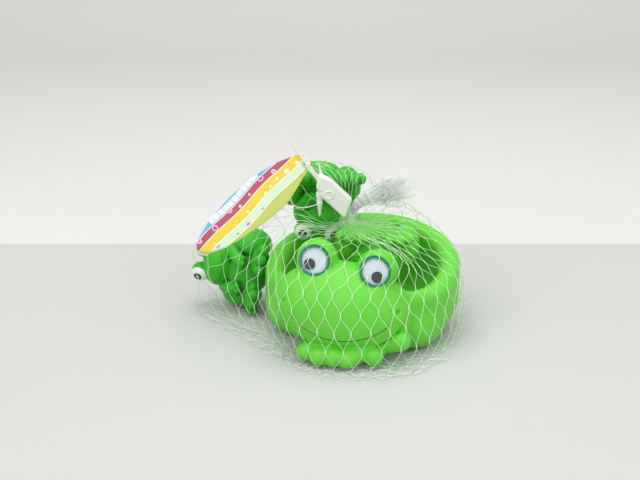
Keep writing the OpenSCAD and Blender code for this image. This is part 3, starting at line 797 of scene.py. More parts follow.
    def dimple_spots(self) -> list[Array]:
        """Middles of the dimples at the corners of the mouth.

        Returns:
            Points in the mother's frame.
        """
        spots = []
        for az, el in self.dimples:
            a, e = np.radians([az, el])
            spot = np.array([np.sin(a) * np.cos(e), -np.cos(a) * np.cos(e), np.sin(e)])
            spot = turn(self.head.angles) @ (spot * self.head.half)
            spots.append(np.array(self.head.middle) + spot)
        return spots

    def pits(self, points: Array) -> Array:
        """Distance from each point to the nearest dimple, up to 9 mm."""
        return np.minimum(9.0, np.min([length(points - spot) for spot in self.dimple_spots()], 0))

    def skin(self) -> Skin:
        """Draws the mother, turned to face as in the row.

        Returns:
            Her skin with the lip distance and the openness of each point.
        """
        x = np.arange(-64.5, 64.6, 0.85)
        y = np.concatenate([np.arange(-79.0, -30.0, 0.72), np.arange(-30.0, 65.0, 1.15)])
        z = np.concatenate([np.arange(-0.6, 36.0, 0.62), np.arange(36.0, 76.0, 0.85)])
        made = net_of_cells(self.distance, (x, y, z))
        az, _, below = self.head_angles(made.points)
        on_head = np.abs(self.head.distance(made.points)) < 3.0
        values = {
            "lip": np.where(on_head, np.clip(below, -9, 9), 9.0),
            "smile": 1 - ramp(np.abs(az), 41.0, 45.0),
            "open": openness(self.distance, made.points, (1.0, 2.5)),
            "pit": self.pits(made.points),
        }
        return Skin(made.points @ turn((0, 0, self.facing)).T, made.faces, values)

    def world_distance(self, points: Array) -> Array:
        """Signed distance for points in the row frame."""
        return self.distance(points @ turn((0, 0, self.facing)))


def box_distance(over: Array) -> Array:
    """Signed distance to a box, from how far each point lies over its half sizes on each axis."""
    return length(np.maximum(over, 0)) + np.minimum(over.max(-1), 0)


def openness(form: Form, points: Array, reaches: Sequence[float]) -> Array:
    """How open it is over each point, from 0 deep in a fold to 1: the mean of distance over reach.
    The vinyl darkens by it as painted shade.
    """
    normal = unit(slope(form, points))
    return np.clip(np.mean([form(points + normal * r) / r for r in reaches], 0), 0, 1)


# A small frog


@dataclass
class SmallFrog:
    """One small frog in its own frame, on its base at the origin and facing -y."""

    width: float = 55.0
    height: float = 50.0
    face: Part = ((0, -0.02, 0.64), (0.57, 0.30, 0.24))
    belly: Part = ((0, 0, 0.27), (0.61, 0.31, 0.33))
    eye: Part = ((0.31, -0.085, 0.872), (0.23, 0.13, 0.128))
    thigh: Part = ((0.66, 0.02, 0.29), (0.34, 0.27, 0.27))
    foot: Part = ((0.43, -0.24, 0.115), (0.36, 0.15, 0.115))
    toes: tuple[Point, ...] = ((0.79, -0.31, 0.085), (0.58, -0.38, 0.085), (0.33, -0.385, 0.085))
    toe_radius: float = 3.75
    arm: Part = ((0.47, -0.17, 0.50), (0.36, -0.30, 0.36))
    arm_radius: float = 4.25
    wrist: Point = (0.37, -0.29, 0.37)
    fingers: tuple[Point, ...] = ((0.47, -0.335, 0.325), (0.36, -0.36, 0.315), (0.25, -0.345, 0.33))
    finger_radii: Pair = (1.9, 2.6)
    nostril: Point = (0.09, -0.315, 0.70)
    nostril_radius: float = 0.55
    squeaker_hole: Pair = (5.32, 1.02)
    lip: Pair = (-22.0, 26.0)

    def scaled(self, p: Point, side: int = 1) -> Point:
        """A place or size given as shares of the half width, the height and the height."""
        return (side * p[0] * self.width / 2, p[1] * self.height, p[2] * self.height)

    def oval(self, part: Part, side: int = 1) -> Oval:
        """A part's oval from its middle and half sizes in shares, on one side."""
        return Oval(self.scaled(part[0], side), self.scaled(part[1]))

    def bar(self, start: Point, end: Point, side: int, radii: Pair) -> Bar:
        """A limb's bar from its ends in shares, on one side."""
        return Bar(self.scaled(start, side), self.scaled(end, side), *radii)

    def eye_middles(self) -> list[Array]:
        """Middles of the two eye bulbs."""
        return [np.array(self.scaled(self.eye[0], s)) for s in (-1, 1)]

    def face_angles(self, points: Array) -> tuple[Array, Array]:
        """Where points lie on the face.

        Args:
            points: Points in the small frog's frame.

        Returns:
            Azimuth in degrees, and how far below the lip line in millimetres.
        """
        az, el = self.oval(self.face).bearings(points)
        u = az / 50.0
        return az, (self.lip[0] + self.lip[1] * u * u - el) * 0.21

    def distance(self, points: Array) -> Array:
        """Signed distance to the small frog's skin.

        The belly, face, eyes, thighs, feet and arms are welded, then the nostrils and the
        squeaker's hole are cut, and the base is cut flat.

        Args:
            points: Points in its frame.

        Returns:
            Signed distance.
        """
        az, below = self.face_angles(points)
        side = 1 - ramp(np.abs(az), 48.0, 56.0)
        jaw = 0.35 * ramp(below, 0.0, 0.4) * (1 - ramp(below, 2.0, 4.0))
        groove = 0.55 * np.exp(-((below / 0.42) ** 2))
        face = self.oval(self.face).distance(points) + side * (groove + jaw)
        d = weld(self.oval(self.belly).distance(points), face, 1.6)
        toe_radii, arm_radii = (self.toe_radius,) * 2, (self.arm_radius,) * 2
        for s in (-1, 1):
            d = weld(d, self.oval(self.eye, s).distance(points), 0.9)
            d = weld(d, self.oval(self.thigh, s).distance(points), 1.2)
            toes = [self.bar(toe, self.foot[0], s, toe_radii) for toe in self.toes]
            d = weld(d, welded(self.oval(self.foot, s).distance(points), toes, points, 0.8), 1.0)
            tips = [self.bar(tip, self.wrist, s, self.finger_radii) for tip in self.fingers]
            arm = self.bar(*self.arm, s, arm_radii).distance(points)
            d = weld(d, welded(arm, tips, points, 0.6), 0.8)
            nostril = np.array(self.scaled(self.nostril, s), np.float32)
            d = -weld(-d, length(points - nostril) - self.nostril_radius, 0.5)
        radius, depth = self.squeaker_hole
        hole = np.maximum(length(points[:, :2]) - radius, points[:, 2] - depth)
        return np.maximum(np.maximum(d, -hole), -points[:, 2])

    def skin(self) -> Skin:
        """Draws the small frog.

        Returns:
            Its skin with the gaze angle of its painted eyes and its openness.
        """
        step = 0.62
        spans = ((-29.2, 29.3), (-25.0, 18.0), (-1.0, 51.6))
        made = net_of_cells(self.distance, [np.arange(*span, step) for span in spans])
        gaze = np.full(len(made.points), 180.0)
        for s, middle in zip((-1, 1), self.eye_middles()):
            aim = unit(np.array([s * 0.34, -0.9, 0.12]))
            rel = made.points - middle
            angle = np.degrees(np.arccos(np.clip(unit(rel) @ aim, -1, 1)))
            gaze = np.minimum(gaze, angle + 40 * np.maximum(0, length(rel) - 7.0))
        room = openness(self.distance, made.points, (0.8, 2.0))
        return Skin(made.points, made.faces, {"gaze": np.clip(gaze, 0, 180), "open": room})


@dataclass(frozen=True)
class Lie:
    """Where a small frog's base middle lies, how it is turned and how far it can be pushed."""

    body: str
    at: Point
    angles: Point
    push: Point = (0.0, 0.0, 0.0)
    # light gives a small frog the plain lime vinyl; the others get the darker copy, partly painted
    # shade.
    light: bool = False

    def world(self, points: Array) -> Array:
        """Points of the small frog's frame in the row frame."""
        return points @ turn(self.angles).T + np.array(self.at)

    def local(self, points: Array) -> Array:
        """Points of the row frame in the small frog's frame."""
        return (points - np.array(self.at)) @ turn(self.angles)

    def stops(self) -> list[Array]:
        """Pushes at which the net keeps clear of it: none, half and all of its travel."""
        shares = (0.0, 0.5, 1.0) if any(self.push) else (0.0,)
        return [np.array(self.push) * share for share in shares]


LIES = (
    Lie("left_baby", (-61.752, 26.04, 24.99), (0.0, -78.0, -8.0), push=(0.0, 0.0, 5.0)),
    Lie("top_baby", (-25.42, 30.07, 98.9), (0.0, 187.0, 15.0), push=(-3.29, -1.2, 0.0)),
    Lie("tub_baby", (9.92, 14.88, 64.2), (0.0, 180.0, -8.0), push=(8.0, 0.0, 0.0), light=True),
)


@dataclass
class FrogFamily:
    """All the vinyl frogs, and the distance to the nearest of them."""

    mother: MotherFrog = field(default_factory=MotherFrog)
    small: SmallFrog = field(default_factory=SmallFrog)

    def distance(self, points: Array) -> Array:
        """Distance to the nearest frog, pushed or not.

        Args:
            points: Points in the row frame.

        Returns:
            Signed distance.
        """
        near = self.mother.world_distance(points)
        for lie in LIES:
            for stop in lie.stops():
                near = np.minimum(near, self.small.distance(lie.local(points - stop)))
        return near

    def build(self) -> None:
        """Makes the four skins and puts them on their bodies."""
        big = SoftVinyl("mother_vinyl", Features.MOUTH_SHADE).material()
        skin = self.mother.skin()
        made = piece("mother_skin", skin, big, "mother")
        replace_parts(made, "mother_shell")
        self.cloud = [skin.points[::7]]
        # A darker copy of the small frogs' vinyl for the left and top frogs: partly their own
        # deeper green, partly painted shade for frogs that sit in shade.
        deeper_and_shaded_vinyl = SoftVinyl("deeper_and_shaded_small_frog_vinyl", Features.EYES, lit=(0.040, 0.46, 0.011),
                         deep=(0.014, 0.30, 0.004), crease_shade=(0.003, 0.13, 0.001)).material()
        light = SoftVinyl("light_small_frog_vinyl", Features.EYES).material()
        small = self.small.skin()
        for lie in LIES:
            skin = Skin(lie.world(small.points), small.faces, small.values)
            made = piece(f"{lie.body}_skin", skin, light if lie.light else deeper_and_shaded_vinyl, lie.body)
            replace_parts(made, f"{lie.body}_shell")
            self.cloud.append(skin.points[::7])


# The net bag


@dataclass
class NetBag:
    """Drawn plastic net: knots on a wrapped surface and strands that leave them nearly upright."""

    frogs: FrogFamily
    columns: int = 36
    rows: int = 12
    neck: Point = (-8.06, -9.92, 73.1)
    neck_radius: float = 4.6
    clearance: float = 0.85
    room: float = 1.6
    source_room: float = 2.6
    strand: float = 0.16
    knot: float = 0.31
    low: float = 2.17
    foot_in: float = 0.13
    foot_in_side: float = 212.0
    knot_clearance: float = 0.7
    slack_clearance: float = 0.5
    knot_half: float = 1.1
    thin: float = 0.6
    dip: tuple[float, float, float, float, float] = (42.0, 37.0, 112.0, 0.616, 0.213)
    dip_span: float = 33.0
    wobble: Pair = (1.2, 1.0)
    sway: float = 0.010
    stretch: Pair = (30.0, 73.5)
    bunches: tuple[tuple[float, ...], ...] = (
        (-38.0, 34.0, 0.75, 0.34, 0.62, -36.0),
        (197.0, 30.0, 0.65, 0.44, 0.68, 0.0),
        (60.0, 30.0, 0.45, 0.45, 0.70, 0.0),
    )
    bunch_end: float = 0.8
    bow: float = 0.95
    row_power: float = 1.25

    def __post_init__(self) -> None:
        """Works out how far the frogs reach along many directions."""
        self.middle = np.array([self.neck[0], self.neck[1], 23.25])
        k = np.arange(1400)
        z = 1 - (2 * k + 1) / len(k)
        r = np.sqrt(1 - z * z)
        a = np.radians(137.50776 * k)
        self.normals = np.stack([r * np.cos(a), r * np.sin(a), z], -1)
        cloud = np.concatenate(self.frogs.cloud) - self.middle
        self.reach = (self.normals @ cloud.T).max(1) + self.room

    def hull_radius(self, direction: Array) -> Array:
        """Radius of the taut wrap along directions: the least reach over the cosine."""
        c = direction @ self.normals.T
        return np.where(c > 0.1, self.reach / np.where(c > 0.1, c, 1.0), 1e9).min(-1)

    def foot(self, az: Array) -> Array:
        """Radius of the net on the floor, drawn in at the left front.

        Args:
            az: Azimuths in degrees.

        Returns:
            Radius at each.
        """
        a = np.radians(az)
        flat = np.stack([np.cos(a), np.sin(a), np.zeros_like(a)], -1)
        drawn = self.foot_in * np.maximum(0, np.cos(np.radians(az - self.foot_in_side))) ** 3
        return (self.hull_radius(flat) + self.source_room - self.room) * (1 - drawn)

    def gathered(self, az: Array, t: Array) -> Array:
        """Draws the columns together where the net is bunched.

        Args:
            az: Even azimuths in degrees.
            t: Height along the net from 0 at the floor to 1 at the neck.

        Returns:
            The bunched azimuths.
        """
        for side, width, pull, low, high, drift in self.bunches:
            off = (az - side - drift * ramp(t, low, 1.0) + 540.0) % 360.0 - 180.0
            drawn = ramp(t, low, high) * (1 - ramp(t, self.bunch_end, 1.0))
            az = az - pull * drawn * off * np.exp(-((off / width) ** 2))
        return az

    def wrapped(self, az: Array, t: Array) -> Array:
        """Places on the wrap, drawn down to the neck ring over the last part.

        Args:
            az: Azimuths in degrees.
            t: Heights along the net from 0 to 1.

        Returns:
            Points in the row frame.
        """
        a = np.radians(az)
        foot = self.foot(az)
        e0 = np.arctan2(self.low - self.middle[2], foot)
        e1 = np.arctan2(self.neck[2] - self.middle[2], self.neck_radius)
        e = e0 + (e1 - e0) * t
        way = np.stack([np.cos(a) * np.cos(e), np.sin(a) * np.cos(e), np.sin(e)], -1)
        hull = self.hull_radius(way)
        start = np.hypot(foot, self.low - self.middle[2])
        low = start + (hull - start) * ease(t * 3.0)
        high = np.hypot(self.neck_radius, self.neck[2] - self.middle[2])
        least, more, side, first, width = self.dip
        dip = least + more * ease((np.cos(np.radians(az - side)) - first) / width)
        span = np.minimum(np.degrees(e1) - dip, self.dip_span)
        r = low + (high - low) * ease((np.degrees(e) - dip) / span)
        return self.middle + way * r[..., None]

    def clear_of_frogs(self, points: Array, room: float, rounds: int = 6) -> Array:
        """Moves points that are too near a frog out along the slope of the distance.

        Args:
            points: The points, in any array shape.
            room: The distance that they are to keep.
            rounds: The most moves.

        Returns:
            The moved points, none of them under the floor.
        """
        flat = points.reshape(-1, 3).copy()
        for _ in range(rounds):
            d = self.frogs.distance(flat)
            near = d < room
            if not near.any():
                break
            g = unit(slope(self.frogs.distance, flat[near], 0.2))
            flat[near] += g * np.minimum(room - d[near], 2.5)[:, None]
        flat[:, 2] = np.maximum(flat[:, 2], self.strand + 0.1)
        return flat.reshape(points.shape)

    def knots(self) -> Array:
        """Places of the knots by row and column, kept clear of the frogs.

        Returns:
            Rows by columns by 3.
        """
        j = np.arange(self.rows + 1)[:, None]
        i = np.arange(self.columns)[None, :]
        az = (i + (j % 2) / 2) * 360.0 / self.columns + np.zeros_like(j)
        t = 1 - (1 - j / self.rows) ** self.row_power + np.zeros_like(az)
        loose = np.sin(np.pi * t)
        fast, slow = self.wobble
        wobble = (fast * np.sin(3.1 * az + 2.3 * j) + slow * np.sin(1.7 * az - 4.1 * j)) * loose
        t = t + self.sway * np.sin(2.3 * az + 1.9 * j) * loose
        return self.clear_of_frogs(self.wrapped(self.gathered(az + wobble, t), t), self.clearance)

    def strands(self, knots: Array, steps: int = 13) -> Array:
        """Curves from each knot to its two upper neighbours.

        A strand is a Hermite curve that leaves its knots along the net's upward
        direction, as strands of a drawn net do, so it has a slight S.

        Args:
            knots: The knots.
            steps: Points on a strand.

        Returns:
            Strands by points by 3.
        """
        up = unit(np.gradient(knots, axis=0))
        s = np.linspace(0, 1, steps)[None, :, None]
        made = []
        for row, shift in risers(self.rows):
            a, b = knots[row], np.roll(knots[row + 1], -shift, 0)
            span = length(b - a)[:, None]
            va, vb = (up[row] * span)[:, None], (np.roll(up[row + 1], -shift, 0) * span)[:, None]
            made.append((2 * s**3 - 3 * s**2 + 1) * a[:, None]
                        + (s**3 - 2 * s**2 + s) * va * self.bow
                        + (-2 * s**3 + 3 * s**2) * b[:, None]
                        + (s**3 - s**2) * vb * self.bow)
        return self.clear_of_frogs(np.concatenate(made), self.knot_clearance)

    def build(self, finish: Material, knot_finish: Material,
              slack_finish: Material) -> None:
        """Makes the pouch and its knots, and the net on the floor.

        Args:
            finish: The strands' material.
            knot_finish: The knots' material.
            slack_finish: The material of the net on the floor.
        """
        knots = self.knots()
        lines = self.strands(knots)
        out = length(lines[..., :2] - np.array(self.neck[:2]))
        drawn = self.thin * ramp(lines[..., 2], 45.0, 65.0) * (1 - ramp(out, 8.0, 34.0))
        radii = self.strand * (1 - drawn)
        radii[:, [1, -2]] *= 1.3
        pouch = piece("net_strands", tubes(lines, radii), finish, "")
        up = unit(np.gradient(knots, axis=0)).reshape(-1, 1, 3)
        at = self.clear_of_frogs(knots, self.knot_clearance).reshape(-1, 1, 3)
        shrink = 1 - self.thin * ramp(at[..., 2], self.neck[2] - 12.0, self.neck[2])
        along = np.linspace(-1, 1, 5)[None, :, None] * self.knot_half * shrink[..., None]
        girth = np.array([TIP, 0.75, 1.0, 0.75, TIP])[None] * self.knot * shrink
        knot = piece("net_knots", tubes(at + up * along, girth, 6), knot_finish, "")
        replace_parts(pouch, "net_pouch")
        for made in (pouch, knot):
            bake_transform(made)
        self.base(slack_finish)

    def base(self, finish: Material) -> None:
        """The net that lies flat under the toys: crossing wavy lines cut at the foot line.

        Args:
            finish: Its material.
        """
        pitch, slant, height, points = 11.5, 0.62, 0.42, 60
        x = np.linspace(-150, 150, 151)
        k, lean = np.repeat(np.arange(-16, 17), 2)[:, None], np.tile((-1, 1), 33)[:, None]
        y = k * pitch + lean * slant * x + 1.2 * np.sin(x * 0.21 + k)
        lines = np.stack(np.broadcast_arrays(x, y, height), -1)
        lines = lines + np.array([self.middle[0], self.middle[1] + 10.0, 0.0])
        rel = lines[..., :2] - self.middle[:2]
        inside = length(rel) < self.foot(np.degrees(np.arctan2(rel[..., 1], rel[..., 0]))) + 0.4
        kept = []
        for line, on in zip(lines, map(np.flatnonzero, inside)):
            if len(on) > 3:
                ends = np.interp(np.linspace(0, 1, points), np.linspace(0, 1, len(on)), on)
                marks = np.arange(len(line))
                kept.append(np.stack([np.interp(ends, marks, c) for c in line.T], -1))
        paths = np.array(kept)
        paths[:, :, 2] += 0.06 * np.sin(paths[:, :, 0] * 0.8)
        flat = tubes(paths, np.full(paths.shape[:2], self.strand))
        made = piece("net_floor", joined([flat, self.crumple()]), finish, "mother")
        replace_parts(made, "net_base")

    def crumple(self, count: int = 150) -> Skin:
        """Slack net that lies crumpled along the foot line: short wavy strands in low heaps.

        Args:
            count: Number of strands.

        Returns:
            The strands.
        """
        first, sweep, golden, points = 172.0, 150.0, 0.618, 16
        k = np.arange(count)[:, None]
        s = np.linspace(0, 1, points)[None, :]
        az = first + sweep * ((k * golden) % 1.0) + (7.0 + 5.0 * np.sin(k * 1.3)) * (s - 0.5) * 2
        into = 7.0 * np.sin(k * 2.1) + (2.6 + np.cos(k)) * np.sin(6.5 * s + k * 1.9)
        radius = self.foot(az.ravel()).reshape(az.shape) + 1.5 + into
        height = 0.35 + (0.9 + 0.8 * np.sin(k * 3.7)) * (1 + np.sin(5.0 * s + k * 0.7)) * 0.9
        a = np.radians(az)
        x, y = self.middle[0] + radius * np.cos(a), self.middle[1] + radius * np.sin(a)
        paths = self.clear_of_frogs(np.stack([x, y, height], -1), self.slack_clearance)
        return tubes(paths, np.full(az.shape, self.strand * 0.9))


@dataclass
class BagTail:
    """The gathered end of the bag: net bundled in the clip's bore that fans out behind it."""

    neck: Point = (-8.06, -9.92, 73.1)
    lean: Point = (-20.0, 0.0, -50.0)
    clip_length: float = 27.0
    bore_length: float = 12.24
    bundle: float = 2.3
    columns: int = 32
    rows: int = 15
    layers: int = 3
    strand: float = 0.13
    reach: tuple[Point, ...] = (
        (0.50, 0.22, 0.60), (0.80, 0.40, 0.64), (1.20, 0.62, 0.62), (1.60, 0.85, 0.66),
    )
    widths: tuple[float, ...] = (0.85, 0.9, 1.3, 2.5, 3.7, 4.4, 4.8)
    throat: int = 60
    throat_strand: float = 0.17
    throat_low: float = 4.4
    throat_high: Point = (3.4, 2.0, 1.6)

    def __post_init__(self) -> None:
        """Works out the bore's direction, the spine of the fan and its smoothed course."""
        neck = np.array(self.neck)
        self.bore = turn(self.lean) @ np.array([0.0, 0.0, 1.0])
        through = self.bore * self.bore_length
        spine = np.concatenate([[neck - self.bore, neck + through * 0.5, neck + through],
                                neck + np.array(self.reach) * self.clip_length])
        marks = np.linspace(0, 1, len(spine))
        self.steps = np.linspace(0, 1, 61)
        near = np.clip(self.steps[:, None] + np.linspace(-0.09, 0.09, 7), 0, 1)
        self.course = np.stack([np.interp(near, marks, spine[:, c]).mean(-1) for c in range(3)], -1)
        self.girth = np.interp(near, marks, self.widths).mean(-1) * self.bundle
        along = unit(np.gradient(self.course, axis=0))
        self.other = unit(np.array([0.0, 0.0, 1.0]) - along[:, 2:] * along)
        self.side = np.cross(along, self.other)

    def place(self, t: Array, angle: Array, depth: Array) -> Array:
        """Places in the bundle: along the course by t, round it by angle, at a share of its width.

        The fan is flatter front to back than it is high.

        Args:
            t: Shares of the way along.
            angle: Angles round the course in radians.
            depth: Shares of the width there.

        Returns:
            Points in the row frame.
        """
        def at(table: Array) -> Array:
            """A table of vectors read at the shares t."""
            return np.stack([np.interp(t, self.steps, table[:, c]) for c in range(3)], -1)

        wide = np.interp(t, self.steps, self.girth) * depth
        flat = 1 - 0.5 * ramp(t, 0.4, 0.8)
        across, up = wide * flat * np.cos(angle), wide * np.sin(angle)
        return at(self.course) + across[..., None] * at(self.side) + up[..., None] * at(self.other)

    def sheet(self, layer: int) -> Array:
        """Knots of one layer of the fan's net, which is wavier towards its end.

        Args:
            layer: The layer's number, 0 outside.

        Returns:
            Rows by columns by 3.
        """
        j = np.arange(self.rows + 1)[:, None]
        i = np.arange(self.columns)[None, :]
        t = (j / self.rows) ** 1.1 + 0 * i
        angle = (i + (j % 2) / 2) * 2 * np.pi / self.columns + 0.9 * layer
        loose = ramp(t, 0.4, 0.9)
        angle = angle + loose * 0.5 * np.sin(3.0 * i + 1.7 * j + layer)
        ripple = 1 + loose * 0.28 * np.sin(5.0 * angle + 2.0 * layer + 3.0 * t)
        depth = (1 - 0.27 * layer) * ripple
        t = t * (1 - 0.16 * (1 + np.sin(2.1 * i + layer * 2.0)) * loose)
        return self.place(np.clip(t, 0, 1), angle, depth)

    def build(self, finish: Material) -> None:
        """Makes the fan's strands, layer within layer.

        Args:
            finish: Their material.
        """
        s = np.linspace(0, 1, 6)[None, :, None]
        lines = []
        for knots in map(self.sheet, range(self.layers)):
            for row, shift in risers(self.rows):
                a = knots[row][:, None]
                b = np.roll(knots[row + 1], -shift, 0)[:, None]
                across = np.sin(np.pi * s) * 0.4 * np.cross(unit(b - a), self.bore)
                lines.append(a + (b - a) * s + across)
        paths = np.concatenate(lines)
        skin = tubes(paths, np.full(paths.shape[:2], self.strand), 4)
        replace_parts(piece("bag_tail", skin, finish, "bag_top"), "net_tail")

    def gathered_throat(self, mouth: Point) -> Skin:
        """The strands that run from the neck up into the clip.

        Args:
            mouth: The middle of the clip's lower end.

        Returns:
            The strands.
        """
        k = np.arange(self.throat)
        a = 2 * np.pi * k / self.throat
        deep = 1 - 0.35 * ((k * 0.618) % 1.0)
        ring, (wide, thick, rise), twist = self.throat_low * deep, self.throat_high, a + 0.5
        low = np.array(self.neck) + np.stack([ring * np.cos(a), ring * np.sin(a), 0 * a - 0.4], -1)
        spread = [wide * np.cos(twist), thick * np.sin(twist), rise * np.cos(twist)]
        high = np.array(mouth) + np.stack(spread, -1) * deep[:, None]
        t = np.linspace(0, 1, 9)[None, :, None]
        paths = low[:, None] * (1 - t) + high[:, None] * t
        middle = paths.mean(0, keepdims=True)
        paths = middle + (paths - middle) * (1 - 0.35 * np.sin(np.pi * t))
        return tubes(paths, np.full(paths.shape[:2], self.throat_strand))


# The clip and its strap


@dataclass
class BagClip:
    """The moulded clip over the neck, its fang, spike and strap with the card's pin."""

    at: Point = (-8.6, -11.27, 77.01)
    lean: float = 38.0
    size: float = 27.0
    seat: float = 43.47
    back: float = 1.92
    lower_end: Point = (2.4, 0.0, 7.5)
    body_at: Point = (1.1, 0.0, 18.0)
    body_half: Point = (4.6, 1.6, 11.6)
    body_lean: float = -8.0
    slant: float = 0.45
    body_round: float = 1.5
    boss_at: Pair = (-0.8, 20.0)
    boss_radii: Pair = (2.9, 2.1)
    dent_at: Point = (-3.6, -3.0, 24.2)
    fang_root: Point = (-6.0, 0.0, 22.6)
    fang_length: float = 13.2
    spike: Bar = Bar((2.4, 0.0, 31.5), (5.9, 0.0, 38.6), 1.3, 0.3)
    strap_from: float = 28.0
    strap_half: Pair = (1.35, 0.65)
    tail_share: float = 0.95
    bow: tuple[Point, ...] = (
        (-45.1, -5.0, 88.5), (-45.5, -9.0, 82.0), (-39.0, -13.0, 81.5), (-27.5, -11.5, 86.0),
    )
    bow_radius: float = 0.34

    def __post_init__(self) -> None:
        """Works out the clip's axes."""
        self.axes = turn((0, -self.lean, 0))

    def world(self, points: Array) -> Array:
        """Points of the clip's frame, where z runs up the clip and strap, in the row frame."""
        return points @ self.axes.T + np.array(self.at)

    def mouth(self) -> Point:
        """The middle of the clip's lower end in the row frame."""
        return tuple(np.array(self.at) + self.axes @ np.array(self.lower_end))

    def distance(self, p: Array) -> Array:
        """Signed distance to the clip: a slanted body with boss and dent, fang, spike and strap.

        Args:
            p: Points in the clip's frame.

        Returns:
            Signed distance.
        """
        q = (p - np.array(self.body_at)) @ turn((0, self.body_lean, 0))
        q[:, 2] -= self.slant * q[:, 0]
        taper = 1 - 0.5 * ramp(q[:, 2], 4.0, 15.0)
        wide, thick, high = self.body_half
        half = np.stack([wide * taper, thick * (0.6 + 0.4 * taper), np.full(len(q), high)], -1)
        body = 0.9 * (box_distance(np.abs(q) - half) - self.body_round)
        outer, inner = self.boss_radii
        from_boss = length(p[:, [0, 2]] - np.array(self.boss_at))
        body = weld(body, np.maximum(from_boss - outer, np.abs(p[:, 1] + 2.6) - 1.0), 0.5)
        body = np.maximum(body, -np.maximum(from_boss - inner, p[:, 1] + 3.1))
        body = -weld(-body, length(p - np.array(self.dent_at)) - 0.8, 0.4)
        upright = turn((0, self.lean, 0)) @ np.array([0.0, 0.0, 1.0])
        root = np.array(self.fang_root)
        elbow, point = root - upright * 5.0, root - upright * self.fang_length
        fang = Bar(tuple(root + upright), tuple(elbow), 2.3, 1.5)
        body = welded(body, (fang, Bar(tuple(elbow), tuple(point), 1.7, 0.45), self.spike), p, 1.2)
        middle, half = 0.5 * (self.strap_from + self.seat), 0.5 * (self.seat - self.strap_from)
        strap = np.abs(p - np.array([0.0, 0.0, middle])) - np.array([*self.strap_half, half])
        return weld(body, box_distance(strap) - 0.05, 1.5)

    def skin(self) -> Skin:
        """Draws the clip body and strap.

        Returns:
            Their skin in the row frame.
        """
        step = 0.42
        spans = ((-17.0, 15.0), (-6.0, 6.0), (-6.0, 45.2))
        made = net_of_cells(self.distance, [np.arange(*span, step) for span in spans])
        return Skin(self.world(made.points), made.faces)

    def tail(self) -> Skin:
        """The strap's thin end past the card, a tapered tube on a slight curve.

        Returns:
            Its skin in the row frame.
        """
        t = np.linspace(0, 1, 22)
        z = self.seat - 1.3 + self.size * self.tail_share * t
        x = 2.2 * np.sin(np.pi * t) * t - 1.4 * t
        return tubes(self.world(np.stack([x, 0 * t, z], -1))[None], (0.72 - 0.42 * t)[None], 8)

    def loop(self) -> Skin:
        """A loose strand that hangs in a bow from behind the card to the fang: a Bezier curve.

        Returns:
            Its skin in the row frame.
        """
        t = np.linspace(0, 1, 26)[:, None]
        a, b, c, d = np.array(self.bow)
        path = (1 - t) ** 3 * a + 3 * (1 - t) ** 2 * t * b + 3 * (1 - t) * t**2 * c + t**3 * d
        return tubes(path[None], np.full((1, len(t)), self.bow_radius), 6)

    def card_frame(self) -> tuple[Array, Array]:
        """Origin at the pin and axes of the card: long axis, width, normal.

        Returns:
            The origin and the 3 by 3 matrix.
        """
        origin = np.array(self.at) + self.axes @ np.array([0.0, self.back, self.seat])
        return origin, self.axes @ turn((0, 180 - 43.5 + self.lean, 0)) @ turn((-90, 0, -18))

    def build(self, finish: Material) -> None:
        """Makes the clip, the strap's tail, the pin and the loose strand.

        Args:
            finish: Their material.
        """
        origin, axes = self.card_frame()
        pin = origin + axes[:, 2] * np.linspace(-self.back, 2.3, 8)[:, None]
        girth = np.array([1.17] * 5 + [2.3, 2.45, 1.9])[None]
        skin = joined([self.tail(), tubes(pin[None], girth, 20)])
        made = piece("bag_clip_body", self.skin(), finish, "bag_top")
        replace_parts(made, "bag_clip")
        piece("clip_strap_end", skin, finish, "bag_top")
        piece("clip_loose_strand", self.loop(), finish, "bag_top")


# The header card


